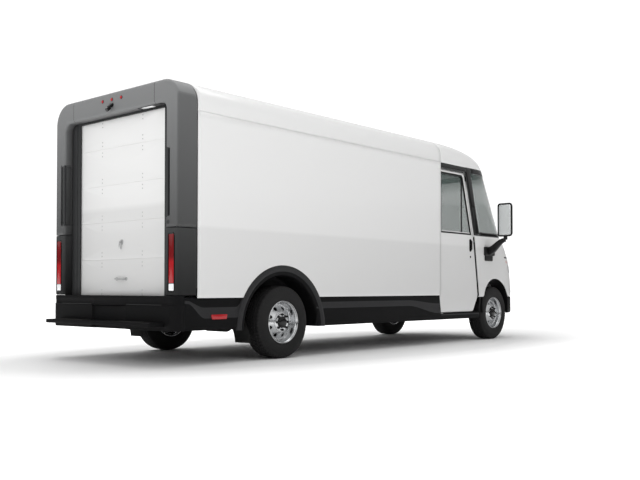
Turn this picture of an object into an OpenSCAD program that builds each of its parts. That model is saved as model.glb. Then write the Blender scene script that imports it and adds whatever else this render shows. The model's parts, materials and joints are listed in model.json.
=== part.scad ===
// Walk-in electric delivery truck, in millimetres.
// The front faces -Y and +Z is up.  The origin lies on the ground below the middle of the truck.

/* [Overall] */
// Width over the body sides
body_w = 2160; // [2000:10:2400]
// Height of the roof above the ground
body_h = 2850; // [2600:10:3200]
// Distance between the axles
wheelbase = 4710; // [4200:10:5400]
// Front axle to the face of the front bumper
front_overhang = 880; // [800:10:1000]
// Rear axle to the face of the rear portal
rear_overhang = 1500; // [1300:10:1800]
// How far the rear step stands out behind the portal
step_reach = 210; // [150:5:300]

/* [Cargo body] */
// Thickness of the side and roof skins
skin_t = 28; // [20:1:36]
// Radius of the roof edges
roof_r = 230; // [180:5:260]
// Height of the white body's lower edge, level with the cargo floor
sill_z = 675; // [640:5:720]
// Height of the crease where the side meets the roof shell
crease_z = 2545; // [2500:5:2560]
// Depth of the rear portal along the truck
portal_d = 260; // [220:5:320]
// Setback of the roll-up door from the portal's face
door_setback = 133; // [115:2:160]
// Width of the rear opening
opening_w = 1800; // [1600:10:1840]
// Height of the rear opening's top
opening_top = 2620; // [2500:10:2660]
// Thickness of the cargo floor
floor_t = 60; // [40:5:80]

/* [Roll-up door] */
// Height of a full door panel
panel_h = 400; // [360:2:420]
// Thickness of a door panel
panel_t = 40; // [30:1:50]
// Gap between neighbouring panels
panel_gap = 3; // [2:0.5:5]

/* [Cab] */
// Length of the door opening along the body side
cab_open = 920; // [800:5:950]
// Thickness of a cab door
door_t = 40; // [30:1:45]
// Radius of the front corners seen from above
nose_r = 500; // [400:10:560]
// How far the middle of the front bows out ahead of the corners
nose_bow = 60; // [0:5:100]

/* [Wheels] */
// Outer diameter of the tyres
tyre_d = 800; // [760:5:820]
// Width of the tyres
tyre_w = 245; // [215:5:265]
// Diameter of the rim flange
rim_d = 462; // [440:2:480]
// Outer face of the rear tyres, from the middle
rear_face_x = 1090; // [1060:5:1100]
// Outer face of the front tyres, from the middle
front_face_x = 1060; // [1040:5:1080]
// Radius of the wheel spindles
spindle_r = 35; // [25:1:45]
// Radial clearance of a turning fit
run_fit = 0.05; // [0.02:0.01:0.1]

/* [Mirrors] */
// Height of a mirror head
mirror_h = 500; // [400:10:560]
// Width of a mirror head
mirror_w = 235; // [200:5:260]

/* [Fixing points] */
// Spacing of the licence-plate holes
plate_pitch = 178; // [150:1:200]
// Radius of the licence-plate holes
plate_hole_r = 3.5; // [3:0.5:5]
// Radius of the towing-eye socket
tow_r = 12; // [10:0.5:16]
// Depth of the towing-eye socket
tow_depth = 70; // [50:5:90]

/* [Hidden] */
$fn = 72;

// places along the truck
half_l = (front_overhang + wheelbase + rear_overhang + step_reach) / 2;
y_front = -half_l;
y_step = half_l;
y_rear = half_l - step_reach;
y_ra = y_rear - rear_overhang;
y_fa = y_ra - wheelbase;
y_portal = y_rear - portal_d;
y_door = y_rear - door_setback;
w = body_w / 2;
axle_z = tyre_d / 2;
skirt_z = 335;
floor_z = sill_z;

// cab door outline, from the opening's rear edge to the windscreen pillar
y_open = y_fa + 1520;
y_lead = y_open - cab_open;
door_low = 430;
door_top = 2458;
sash_z = 1555;
door_x = w - skin_t - 10 - door_t;
pocket_x = door_x - 12;
cap_z = 2450;
cap_len = 1190;
y_cap = y_front + 2060;
y_cab = y_front + 2250;
y_screen_top = y_front + 890;
y_cowl = y_front + 350;
cowl_z = sash_z;
hood_z = 1300;
bumper_z = 645;
bumper_low = 390;
pillar_w = 150;
lamp_z = 1010;

// rear arch
arch_r = 700;
flare_r = 585;
arch_z = 325;
// front arch in the white shell
front_arch_r = 400;
front_arch_z = 520;
clad_gap = 440;
split_z = 1370;

// running gear
rail_x = 400;
rail_w = 80;
rail_z = 475;
rail_h = sill_z - floor_t - rail_z;
cross_w = 80;
spring_w = 60;
spring_t = 30;
battery_z = 340;
battery_h = 215;
king_x = 790;
king_r = 16;
king_eye = 24;
disc_t = 14;
hub_r = 75;
hub_l = 58;
wall_t = 12;
bead_r = rim_d / 2 - 10;
flange_t = 12;
flange_in = 14;

// roll-up door
lift_z = floor_z + 6;
pitch = panel_h + panel_gap;
top_panel_h = opening_top - 8 - lift_z - 4 * pitch;
jamb_w = 148;
panel_w = opening_w - 2 * jamb_w + 46;
seal_gap = 6;
track_t = 8;
jamb_t = 22;
latch_z = lift_z + pitch + 180;
latch_r = 9;

// wipers
wiper_x1 = 600;
wiper_x2 = -110;
screen_lean = atan((y_screen_top - y_cowl) / (crease_z - cowl_z));

// steering and seat, on the left of the cab
drive_x = 450;
dash_z = 1080;
wheel_y = y_fa + 480;
wheel_z = 1330;
wheel_tilt = 55;
column_l = 360;
seat_y = y_fa + 1130;
deck_w = 680;
foot_w = 560;
toe_y = y_fa + 100;
step_z = 470;
pedal_r = 10;
pedal_y = toe_y + 80;
pedal_z = 1040;
brake_x = drive_x - 30;
brake_hw = 50;
gas_x = drive_x - 170;
gas_hw = 30;

// mirrors
mirror_x = w + 295;
mirror_y = y_fa + 215;
mirror_z = 1795;
arm_z = 1335;

white = [0.9, 0.9, 0.9];
black = [0.09, 0.09, 0.1];
grey = [0.34, 0.35, 0.36];

// ---------- helpers ----------

// the windscreen's foot at x, with local Z square to the glass
module on_screen(x) translate([x, y_cowl - 4, cowl_z - 16]) rotate([90 - screen_lean, 0, 0]) children();

module along_y(y0, y1) translate([0, y1, 0]) rotate([90, 0, 0]) linear_extrude(y1 - y0) children();

// a drawing in Y and Z, pulled out along X
module along_x(x0, x1) translate([x0, 0, 0]) rotate([90, 0, 90]) linear_extrude(x1 - x0) children();

module both() {
  children();
  mirror([1, 0, 0]) children();
}

module block(x0, x1, y0, y1, z0, z1) translate([x0, y0, z0]) cube([x1 - x0, y1 - y0, z1 - z0]);

module shaft(r, x0, x1, y, z) translate([x0, y, z]) rotate([0, 90, 0]) cylinder(r = r, h = x1 - x0);

// cross-section of the body, inset by i, from height z0 up
module section(i, z0) {
  r = roof_r - i;
  hw = w - i;
  top = body_h - i;
  translate([-hw, z0]) square([2 * hw, top - r - z0]);
  translate([-(hw - r), z0]) square([2 * (hw - r), top - z0]);
  for (s = [-1, 1]) translate([s * (hw - r), top - r]) difference() {
    circle(r);
    translate([-r - 1, -2 * r]) square([2 * r + 2, 2 * r]);
  }
}

// half-width of the body at height z
function half_w(z) = let(c = body_h - roof_r)
  z <= c ? w : w - roof_r + sqrt(max(0, pow(roof_r, 2) - pow(z - c, 2)));

// the front's place at height z: bumper, nose, hood, windscreen, then an elliptic roof end
function front_y(z) =
  z <= bumper_z ? y_front
  : z <= hood_z ? y_front + 115 * (z - bumper_z) / (hood_z - bumper_z)
  : z <= cowl_z ? y_front + 115 + (y_cowl - y_front - 115) * (z - hood_z) / (cowl_z - hood_z)
  : z <= crease_z ? y_cowl + (y_screen_top - y_cowl) * (z - cowl_z) / (crease_z - cowl_z)
  : y_cap - cap_len * sqrt(max(0, 1 - pow((z - cap_z) / (body_h - cap_z), 2)));

// the cab seen from above, with round corners and a front that bows out
module plan(hw, f, r) {
  translate([-hw, f + nose_bow + r]) square([2 * hw, max(10, y_cab - f - nose_bow - r)]);
  for (s = [-1, 1]) translate([s * (hw - r), f + nose_bow + r]) circle(r, $fn = 40);
  translate([0, f + 2 * r]) circle(2 * r, $fn = 80);
}

// one thin slice of the cab at height z, inset by i
module slice(z, i) {
  hw = half_w(z) - i;
  f = front_y(z) + i;
  r = nose_r - i;
  translate([0, 0, z - (z > crease_z - 1 ? i : 0)]) linear_extrude(1) plan(hw, f, r);
}

// the straight windscreen plane, carried past both its ends
function screen_y(z) = y_cowl + (y_screen_top - y_cowl) * (z - cowl_z) / (crease_z - cowl_z);

module screen_block(z0, z1, i) hull() for (z = [z0, z1])
  translate([0, 0, z]) linear_extrude(0.1) plan(w - i, screen_y(z) + i, nose_r - i);

module cab_block(z0, z1, i) hull() {
  slice(z0, i);
  slice(z1 - 1, i);
}

module cab_cap(i) hull()
  for (z = [crease_z, 2600, 2660, 2720, 2770, 2810, 2835, 2849]) slice(min(z, body_h - 1), i);

function door_front(z) =
  z <= 660 ? y_lead + 10 - 140 * (z - door_low) / (660 - door_low)
  : z <= sash_z ? y_lead - 130 + 130 * (z - 660) / (sash_z - 660)
  : y_lead + 250 * (z - sash_z) / (door_top - sash_z);

// outline of the door opening in Y and Z, grown by g
module door_zone(g) polygon([
  [y_open + g, door_low - g], [door_front(door_low) - g, door_low - g],
  [door_front(660) - g, 660], [door_front(sash_z) - g, sash_z],
  [door_front(door_top) - g, door_top + g], [y_open + g, door_top + g]]);

// ---------- running gear ----------

module chassis_frame() color(black) union() {
  both() block(rail_x, rail_x + rail_w, y_front + 90, y_rear - 60, rail_z, rail_z + rail_h);
  for (y = [y_front + 90, y_fa - 260, y_fa + 520, y_ra - 560, y_ra + 560, y_rear - 170])
    block(-rail_x, rail_x, y, y + cross_w, rail_z, rail_z + rail_h);
  // leaf springs and their hangers
  both() block(rail_x + rail_w, rail_x + rail_w + spring_w, y_ra - 520, y_ra + 520,
    rail_z + 20, rail_z + 20 + spring_t);
  both() for (s = [-1, 1])
    block(rail_x + rail_w, rail_x + rail_w + spring_w, y_ra + s * 500 - 20, y_ra + s * 500 + 20,
      rail_z + 20, rail_z + rail_h);
}

module battery_pack() color([0.2, 0.2, 0.22])
  block(-rail_x + 2, rail_x - 2, y_fa + 520 + cross_w, y_ra - 560, battery_z, battery_z + battery_h);

// beam under the rails, with a fork and a kingpin at each end
module front_beam() color([0.16, 0.16, 0.17]) union() {
  block(62 - king_x, king_x - 62, y_fa - 40, y_fa + 40, axle_z - 25, rail_z);
  both() for (z = [axle_z - 90, axle_z + 65])
    block(king_x - 130, king_x + king_eye, y_fa - king_eye, y_fa + king_eye, z, z + 25);
  both() block(king_x - 130, king_x - 62, y_fa - 40, y_fa + 40, axle_z - 90, axle_z + 90);
  both() translate([king_x, y_fa, axle_z - 90]) cylinder(r = king_r, h = 180);
}

module rear_axle() color([0.16, 0.16, 0.17]) union() {
  shaft(60, -760, 760, y_ra, axle_z);
  both() shaft(spindle_r, 755, rear_face_x - 60, y_ra, axle_z);
  shaft(140, -150, 150, y_ra, axle_z);
  block(-150, 150, y_ra - 230, y_ra, axle_z - 80, axle_z + 70);
  both() block(rail_x + rail_w, rail_x + rail_w + spring_w, y_ra - 60, y_ra + 60, axle_z, rail_z + 20);
}

// knuckle: block with the kingpin bore and the spindle
module knuckle(s) color([0.2, 0.2, 0.21]) mirror([s < 0 ? 1 : 0, 0, 0]) difference() {
  union() {
    translate([king_x, y_fa, axle_z - 62]) cylinder(r = 48, h = 124);
    shaft(45, king_x, king_x + 62, y_fa, axle_z);
    shaft(spindle_r, king_x, front_face_x - 60, y_fa, axle_z);
  }
  translate([king_x, y_fa, axle_z - 63]) cylinder(r = king_r + run_fit, h = 126);
}

module left_knuckle() knuckle(1);
module right_knuckle() knuckle(-1);

// rim turned about the wheel's own X axis, outer face at x = 0, with round hand holes
module rim_shape() difference() {
  rotate([0, 90, 0]) rotate_extrude() {
    for (x = [flange_in - tyre_w, -flange_in - flange_t])
      translate([bead_r - wall_t, x]) square([rim_d / 2 - bead_r + wall_t, flange_t]);
    translate([bead_r - wall_t, flange_in - tyre_w]) square([wall_t, tyre_w - 2 * flange_in]);
    translate([spindle_r + run_fit, -118]) square([hub_r - spindle_r, hub_l]);
    translate([spindle_r + run_fit, -90]) square([bead_r - spindle_r - 4, disc_t]);
  }
  for (k = [0:7]) rotate([k * 45 + 22.5, 0, 0]) translate([-100, 0, 150]) rotate([0, 90, 0])
    cylinder(r = 22, h = 60);
}

module rim(s, face, y) color([0.75, 0.76, 0.78])
  translate([s * face, y, axle_z]) mirror([s < 0 ? 1 : 0, 0, 0]) rim_shape();

module tyre(s, face, y) color([0.06, 0.06, 0.06])
  translate([s * (face - tyre_w / 2), y, axle_z]) rotate([0, 90, 0]) rotate_extrude() difference() {
    r = tyre_d / 2;
    union() {
      translate([bead_r, -tyre_w / 2 + flange_in + flange_t]) square([22, tyre_w - 2 * flange_in - 2 * flange_t]);
      translate([rim_d / 2 + 10, -tyre_w / 2 + 8]) square([45, tyre_w - 16]);
      translate([rim_d / 2 + 40, -tyre_w / 2]) square([70, tyre_w]);
      translate([rim_d / 2 + 100, -tyre_w / 2 + 6]) square([r - rim_d / 2 - 112, tyre_w - 12]);
      translate([r - 25, -tyre_w / 2 + 22]) square([25, tyre_w - 44]);
    }
    translate([bead_r - 1, -tyre_w / 2 + 40]) square([60, tyre_w - 80]);
  }

module front_left_rim() rim(1, front_face_x, y_fa);
module front_right_rim() rim(-1, front_face_x, y_fa);
module rear_left_rim() rim(1, rear_face_x, y_ra);
module rear_right_rim() rim(-1, rear_face_x, y_ra);
module front_left_tyre() tyre(1, front_face_x, y_fa);
module front_right_tyre() tyre(-1, front_face_x, y_fa);
module rear_left_tyre() tyre(1, rear_face_x, y_ra);
module rear_right_tyre() tyre(-1, rear_face_x, y_ra);

// ---------- cargo body ----------

// deck of the cargo space and the cab, with a step well inside each cab door
module floor_pan() color([0.45, 0.45, 0.46]) difference() {
  union() {
    block(-pocket_x, pocket_x, y_open, y_door - panel_t - 4, floor_z - floor_t, floor_z);
    block(-deck_w, deck_w, y_fa + 420, y_open, floor_z - floor_t, floor_z);
    block(-foot_w, foot_w, toe_y, y_fa + 420, floor_z - floor_t, floor_z);
    block(-foot_w, foot_w, toe_y - 30, toe_y, floor_z - floor_t, dash_z);
    both() block(deck_w, pocket_x, y_fa + 560, y_open, step_z - 40, step_z);
    both() block(deck_w, deck_w + 30, y_fa + 560, y_open, step_z - 40, floor_z);
    both() block(deck_w, pocket_x, y_open - 30, y_open, step_z - 40, floor_z);
    pedal_ears(brake_x, brake_hw);
    pedal_ears(gas_x, gas_hw);
  }
  both() block(790, w, y_ra - 620, y_ra + 620, floor_z - floor_t - 1, floor_z + 1);
}

module body_side(s) color(white) mirror([s < 0 ? 1 : 0, 0, 0]) difference() {
  block(w - skin_t, w, y_open, y_portal, sill_z, crease_z);
  shaft(arch_r, w - skin_t - 1, w + 1, y_ra, arch_z);
}

module body_side_left() body_side(1);
module body_side_right() body_side(-1);

module roof_shell() color(white) along_y(y_cab, y_portal) difference() {
  section(0, crease_z);
  section(skin_t, crease_z - 1);
}

module cab_roof() color(white) difference() {
  cab_cap(0);
  cab_cap(skin_t);
  block(-w - 1, w + 1, y_cab, y_cab + 2 * nose_r + 900, crease_z - 50, body_h + 1);
}

// wall between cab and cargo, with a walk-through doorway
module bulkhead() color([0.5, 0.5, 0.52]) difference() {
  union() {
    block(-pocket_x, pocket_x, y_open + 40, y_open + 65, floor_z, door_top + 42);
    along_y(y_open + 40, y_open + 65) section(skin_t, door_top + 42);
  }
  block(-330, 330, y_open + 39, y_open + 66, floor_z - 1, floor_z + 1900);
}

module rear_portal() color(grey) difference() {
  along_y(y_portal, y_rear) section(0, split_z);
  along_y(y_door, y_rear + 1) {
    translate([-opening_w / 2, 1300]) square([opening_w, opening_top - 1300 - 90]);
    translate([-opening_w / 2 + 90, 1300]) square([opening_w - 180, opening_top - 1300]);
    for (s = [-1, 1]) translate([s * (opening_w / 2 - 90), opening_top - 90]) circle(90);
  }
  along_y(y_portal - 1, y_door + 1) section(60, 1300);
  // pockets of the grab handles
  both() block(opening_w / 2 - 1, opening_w / 2 + 50, y_rear - 90, y_rear + 1, 1470, 2170);
}

module pillar_covers() color(grey) both() difference() {
  block(opening_w / 2, w, y_portal, y_rear, 700, split_z);
  block(opening_w / 2 - 1, w - 60, y_portal - 1, y_door + 1, 699, split_z + 1);
  block(955, 1045, y_rear - 30, y_rear + 1, 738, 1318);
}

module tail_lamps() color([0.6, 0.05, 0.06]) both() block(957, 1043, y_rear - 30, y_rear - 6, 740, 1316);

module grab_handles() color(grey) both() {
  block(opening_w / 2 + 4, opening_w / 2 + 26, y_rear - 34, y_rear - 6, 1470, 2170);
}

// three red lamps on the header and the lamp that lights the doorway
module header_lamps() color("red") union() {
  for (x = [-165, 0, 165]) translate([x, y_rear, 2768]) rotate([-90, 0, 0]) cylinder(r = 16, h = 13);
  block(-640, -460, y_door + 50, y_door + 110, opening_top - 14, opening_top);
}

module rear_camera() color(black) union() {
  block(-42, 42, y_rear, y_rear + 12, 2672, 2712);
  translate([0, y_rear + 10, 2684]) rotate([-115, 0, 0]) cylinder(r = 20, h = 55);
}

// side tracks of the roll-up door, each with a cover board out to the portal's reveal
module door_tracks() color([0.55, 0.56, 0.58]) both() {
  x = panel_w / 2 + 4;
  block(x, x + track_t, y_door - panel_t - 30, y_door + seal_gap - 4, floor_z, 2480);
  block(x, x + track_t, y_door - 1500, y_door - panel_t - 30, 2600, 2650);
  block(x, x + track_t, y_door - panel_t - 130, y_door - 4, 2480, 2650);
  block(opening_w / 2 - jamb_w, opening_w / 2, y_door + seal_gap, y_door + seal_gap + jamb_t,
    floor_z, opening_top - 90);
}

module door_panel(k, h) color([0.86, 0.86, 0.86]) difference() {
  block(-panel_w / 2, panel_w / 2, y_door - panel_t, y_door, lift_z + k * pitch, lift_z + k * pitch + h);
  if (k == 1) translate([0, y_door + 1, latch_z]) rotate([90, 0, 0])
    cylinder(r = latch_r + run_fit, h = panel_t + 2);
}

module rear_door_panel_1() door_panel(0, panel_h);
module rear_door_panel_2() door_panel(1, panel_h);
module rear_door_panel_3() door_panel(2, panel_h);
module rear_door_panel_4() door_panel(3, panel_h);
module rear_door_panel_5() door_panel(4, top_panel_h);

module door_latch() color([0.7, 0.7, 0.72]) union() {
  translate([0, y_door + 30, latch_z]) rotate([90, 0, 0]) cylinder(r = latch_r, h = panel_t + 34);
  block(-14, 14, y_door + 12, y_door + 30, latch_z - 75, latch_z + 14);
}

module rear_bumper() color(black) difference() {
  union() {
    block(-w, w, y_rear - 60, y_rear + 30, 350, 700);
    both() block(w - 30, w, y_ra + 610, y_rear - 60, 350, sill_z);
    block(-opening_w / 2, opening_w / 2, y_door - panel_t - 4, y_rear - 60, floor_z - floor_t, floor_z);
  }
  for (s = [-1, 1]) translate([s * plate_pitch / 2 - 480, y_rear + 31, 560]) rotate([90, 0, 0])
    cylinder(r = plate_hole_r, h = 40);
  translate([520, y_rear + 31, 520]) rotate([90, 0, 0]) cylinder(r = tow_r, h = tow_depth + 1);
}

module step_board() color(black) difference() {
  block(-930, 930, y_rear + 30, y_step, 396, 440);
  for (s = [-1, 1], k = [0:4]) translate([s * 520, 0, 0])
    block(-250, 250, y_rear + 52 + k * 26, y_rear + 62 + k * 26, 436, 441);
}

module side_reflectors() color("red") both() block(w, w + 6, y_rear - 660, y_rear - 440, 455, 510);

module side_skirts() color(black) both() difference() {
  block(w - skin_t, w, y_fa + clad_gap, y_ra - 560, skirt_z, sill_z);
  shaft(arch_r, w - skin_t - 1, w + 1, y_ra, arch_z);
  along_x(w - skin_t - 1, w + 1) door_zone(6);
  block(w - skin_t - 1, w + 1, y_fa, y_open - 300, bumper_z, sill_z + 1);
}

module arch_flares() color(black) both() difference() {
  union() {
    shaft(arch_r - 1, w - 60, w, y_ra, arch_z);
    shaft(flare_r + 20, 800, w, y_ra, arch_z);
  }
  shaft(flare_r, 812, w + 1, y_ra, arch_z);
  block(0, w + 1, y_ra - 800, y_ra + 800, -500, skirt_z);
  block(0, w + 1, y_ra + 610, y_ra + 800, 0, sill_z);
  block(0, 813, y_ra - 90, y_ra + 90, 0, axle_z + 90);
}

module mud_flaps() color([0.05, 0.05, 0.05]) both()
  block(w - 270, w - 30, y_ra + 610, y_ra + 616, 190, 560);

// ---------- cab ----------

module dashboard() color([0.14, 0.14, 0.15]) union() {
  block(-900, 900, y_fa - 380, y_fa + 180, dash_z, 1480);
  block(-foot_w, foot_w, y_fa - 380, y_fa - 340, rail_z + rail_h, dash_z);
  translate([drive_x, wheel_y, wheel_z]) rotate([-wheel_tilt, 0, 0]) translate([0, 0, -column_l - 30])
    cylinder(r = 45, h = column_l);
}

module steering_wheel() color(black) translate([drive_x, wheel_y, wheel_z])
  rotate([-wheel_tilt, 0, 0]) union() {
    rotate_extrude() translate([190, 0]) circle(14, $fn = 32);
    translate([0, 0, -28]) cylinder(r = 60, h = 34);
    for (k = [0:2]) rotate([0, 0, k * 120 - 90]) translate([0, -12, -8]) cube([190, 24, 16]);
  }

// hanging pedal with its pivot shaft along X, its pad reaching hw to each side
module pedal(x, hw) color(black) union() {
  shaft(pedal_r, x - hw - 14, x + hw + 14, pedal_y, pedal_z);
  block(x - 10, x + 10, pedal_y - 8, pedal_y + 8, pedal_z - 290, pedal_z);
  block(x - hw, x + hw, pedal_y + 6, pedal_y + 26, pedal_z - 320, pedal_z - 240);
}

// the two ears that carry a pedal's shaft, standing off the toe board
module pedal_ears(x, hw) difference() {
  for (s = [-1, 1]) translate([x + s * (hw + 8), 0, 0])
    block(-4, 4, toe_y - 1, pedal_y + 20, pedal_z - 20, pedal_z + 20);
  shaft(pedal_r + run_fit, x - hw - 20, x + hw + 20, pedal_y, pedal_z);
}

module brake_pedal() pedal(brake_x, brake_hw);
module accelerator_pedal() pedal(gas_x, gas_hw);

module seat_base() color([0.2, 0.2, 0.2]) union() {
  block(drive_x - 210, drive_x + 210, seat_y - 220, seat_y + 220, floor_z, 860);
  block(drive_x - 235, drive_x + 235, seat_y + 245, seat_y + 275, 860, 1050);
  block(drive_x - 235, drive_x + 235, seat_y - 250, seat_y + 275, 860, 890);
}

module seat_cushion() color([0.25, 0.25, 0.27])
  block(drive_x - 250, drive_x + 250, seat_y - 280, seat_y + 240, 890, 1000);

module seat_back() color([0.25, 0.25, 0.27]) translate([0, 0, 1005])
  block(drive_x - 245, drive_x + 245, seat_y + 125, seat_y + 240, 0, 780);

module cab_shell(i) union() {
  cab_block(bumper_z, hood_z, i);
  cab_block(hood_z, cowl_z, i);
}

module front_cut() both() along_x(800, w + 1) translate([y_fa - 10, front_arch_z]) circle(front_arch_r);

module behind_door() along_x(-w - 1, w + 1) polygon([
  [y_cab + 2000, 0], [door_front(door_low) - 6, 0], [door_front(door_low) - 6, door_low],
  [door_front(660) - 6, 660], [door_front(sash_z) - 6, sash_z + 2],
  [door_front(sash_z) - pillar_w, sash_z + 2], [door_front(door_top) - pillar_w, crease_z + 1],
  [y_cab + 2000, crease_z + 1]]);

module front_shell() color(white) difference() {
  cab_shell(0);
  cab_shell(skin_t);
  front_cut();
  behind_door();
  for (x = [wiper_x1, wiper_x2]) on_screen(x) translate([0, 0, -90]) cylinder(r = 12 + run_fit, h = 160);
}

module front_bumper() color(black)
  translate([0, 0, bumper_low]) linear_extrude(bumper_z - bumper_low) difference() {
    hull() plan(w, y_front, nose_r);
    hull() plan(w - skin_t, y_front + skin_t, nose_r - skin_t);
    translate([-w - 1, y_fa - clad_gap]) square([2 * w + 2, body_h]);
  }

module windscreen() color([0.35, 0.4, 0.4, 0.6]) difference() {
  screen_block(cowl_z, crease_z - 0.1, 2);
  screen_block(cowl_z - 20, crease_z + 20, 10);
  behind_door();
}

module cab_frame() color(black) union() {
  both() along_x(w - 34, w - 8)
    polygon([[door_front(sash_z) - 4, sash_z + 4], [door_front(sash_z) - pillar_w + 4, sash_z + 4],
      [door_front(door_top) - pillar_w + 4, crease_z - 4], [y_open - 2, crease_z - 4],
      [y_open - 2, door_top + 6], [door_front(door_top) - 6, door_top + 6]]);
  block(-w + 38, w - 38, door_front(door_top) - 60, door_front(door_top) - 10, crease_z - 70, crease_z - 4);
}

module headlamps() color([0.85, 0.87, 0.9]) both() intersection() {
  difference() {
    cab_block(lamp_z, lamp_z + 130, -4);
    cab_block(lamp_z - 10, lamp_z + 140, -1);
  }
  block(560, w - 90, y_front - 10, y_front + 450, lamp_z, lamp_z + 130);
}

module cab_door(s) color(white) mirror([s < 0 ? 1 : 0, 0, 0]) difference() {
  along_x(door_x, door_x + door_t) door_zone(-2);
  along_x(door_x - 1, door_x + door_t + 1) polygon([
    [y_open - 60, sash_z], [door_front(sash_z) + 55, sash_z],
    [door_front(door_top) + 55, door_top - 45], [y_open - 60, door_top - 45]]);
}

module door_glass(s) color([0.35, 0.42, 0.4, 0.5]) mirror([s < 0 ? 1 : 0, 0, 0])
  along_x(door_x - 6, door_x) polygon([
    [y_open - 40, sash_z - 20], [door_front(sash_z) + 35, sash_z - 20],
    [door_front(door_top) + 35, door_top - 25], [y_open - 40, door_top - 25]]);

module cab_door_left() cab_door(1);
module cab_door_right() cab_door(-1);
module door_glass_left() door_glass(1);
module door_glass_right() door_glass(-1);

module mirror_arms() color(black) both() difference() {
  hull() {
    block(w, w + 30, mirror_y - 60, mirror_y + 60, arm_z - 60, arm_z + 60);
    translate([mirror_x, mirror_y, mirror_z - mirror_h / 2 - 50]) cylinder(r = 32, h = 48);
  }
  translate([mirror_x, mirror_y, mirror_z - mirror_h / 2 - 45]) cylinder(r = 12 + run_fit, h = 60);
}

module mirror_head(s) color(black) mirror([s < 0 ? 1 : 0, 0, 0]) union() {
  translate([mirror_x, mirror_y, mirror_z - mirror_h / 2 - 44]) cylinder(r = 12, h = 60);
  translate([mirror_x - mirror_w / 2, mirror_y - 70, mirror_z - mirror_h / 2])
    cube([mirror_w, 100, mirror_h]);
}

module mirror_left() mirror_head(1);
module mirror_right() mirror_head(-1);

// wiper parked along the foot of the windscreen, with its shaft square to the glass
module wiper(x) color(black) on_screen(x) union() {
  translate([0, 0, -80]) cylinder(r = 12, h = 122);
  translate([-400, -9, 30]) cube([400, 18, 10]);
  translate([-650, -8, 18]) cube([500, 16, 12]);
}

module wiper_left() wiper(wiper_x1);
module wiper_right() wiper(wiper_x2);

chassis_frame();
battery_pack();
floor_pan();
body_side_left();
body_side_right();
roof_shell();
cab_roof();
bulkhead();
rear_portal();
pillar_covers();
door_tracks();
rear_bumper();
step_board();
tail_lamps();
header_lamps();
rear_camera();
grab_handles();
side_skirts();
arch_flares();
mud_flaps();
side_reflectors();
dashboard();
front_shell();
front_bumper();
windscreen();
cab_frame();
headlamps();
seat_base();
seat_cushion();
seat_back();
mirror_arms();
front_beam();
rear_axle();
front_left_rim();
front_left_tyre();
front_right_rim();
front_right_tyre();
rear_left_rim();
rear_left_tyre();
rear_right_rim();
rear_right_tyre();
left_knuckle();
right_knuckle();
cab_door_left();
cab_door_right();
door_glass_left();
door_glass_right();
rear_door_panel_1();
rear_door_panel_2();
rear_door_panel_3();
rear_door_panel_4();
rear_door_panel_5();
door_latch();
steering_wheel();
mirror_left();
mirror_right();
brake_pedal();
accelerator_pedal();
wiper_left();
wiper_right();
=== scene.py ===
"""Looks of the walk-in delivery truck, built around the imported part."""

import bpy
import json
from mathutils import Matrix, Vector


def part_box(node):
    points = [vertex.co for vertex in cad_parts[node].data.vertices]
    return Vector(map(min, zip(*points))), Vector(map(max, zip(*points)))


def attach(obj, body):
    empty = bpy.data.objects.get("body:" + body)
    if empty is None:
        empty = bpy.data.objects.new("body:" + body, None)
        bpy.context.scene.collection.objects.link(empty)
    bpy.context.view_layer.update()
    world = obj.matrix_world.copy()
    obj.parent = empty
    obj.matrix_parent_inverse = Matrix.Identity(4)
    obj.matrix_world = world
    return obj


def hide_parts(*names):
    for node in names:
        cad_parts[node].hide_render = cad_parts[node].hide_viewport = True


bl_info = {
    "name": "Delivery Truck",
    "version": (1, 0, 0),
    "blender": (4, 5, 0),
    "location": "View3D > Sidebar > Truck",
    "description": "Builds the truck's painted skins, mouldings, wheels, lamps and studio",
    "category": "Object",
}

import json
import math
from types import SimpleNamespace

import bmesh
import bpy
import numpy as np
from bpy.props import FloatProperty, FloatVectorProperty, IntProperty, PointerProperty
from bpy.types import Operator, Panel, PropertyGroup
from mathutils import Vector

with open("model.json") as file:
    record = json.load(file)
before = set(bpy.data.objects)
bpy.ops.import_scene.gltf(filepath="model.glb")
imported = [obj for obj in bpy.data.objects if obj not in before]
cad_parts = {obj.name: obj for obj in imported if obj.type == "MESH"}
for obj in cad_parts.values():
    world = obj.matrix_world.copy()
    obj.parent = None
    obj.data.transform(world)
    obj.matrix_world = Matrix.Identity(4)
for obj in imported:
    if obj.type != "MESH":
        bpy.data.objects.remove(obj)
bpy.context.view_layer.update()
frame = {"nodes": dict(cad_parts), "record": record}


def measured():
    """The sizes that the looks share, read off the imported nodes' boxes, in metres."""
    side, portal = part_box("body_side_left"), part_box("rear_portal")
    door, skirt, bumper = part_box("cab_door_left"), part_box("side_skirts"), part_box("rear_bumper")
    rear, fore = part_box("rear_left_tyre"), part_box("front_left_tyre")
    panel, top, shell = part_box("rear_door_panel_1"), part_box("rear_door_panel_5"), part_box("front_shell")
    glass, nose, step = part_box("windscreen"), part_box("front_bumper"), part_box("step_board")
    return SimpleNamespace(
        w=side[1].x, y_open=side[0].y, y_portal=side[1].y, sill=side[0].z, crease=side[1].z,
        y_rear=portal[1].y, top=portal[1].z, split=portal[0].z,
        door_x=door[1].x, door_low=door[0].z, door_top=door[1].z, door_lead=door[0].y,
        skirt_low=skirt[0].z, skirt_front=skirt[0].y, bumper_low=bumper[0].z, bumper_top=bumper[1].z,
        bumper_y=bumper[1].y, y_ra=(rear[0].y + rear[1].y) / 2, y_fa=(fore[0].y + fore[1].y) / 2,
        tyre_r=(rear[1].z - rear[0].z) / 2,
        y_door=panel[1].y, panel_x=panel[1].x, panel_low=panel[0].z, panel_high=top[1].z,
        y_front=nose[0].y, nose_low=nose[0].z, nose_top=nose[1].z, cowl=shell[1].z,
        glass_low=glass[0].z, glass_high=glass[1].z, y_step=step[1].y)


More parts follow.
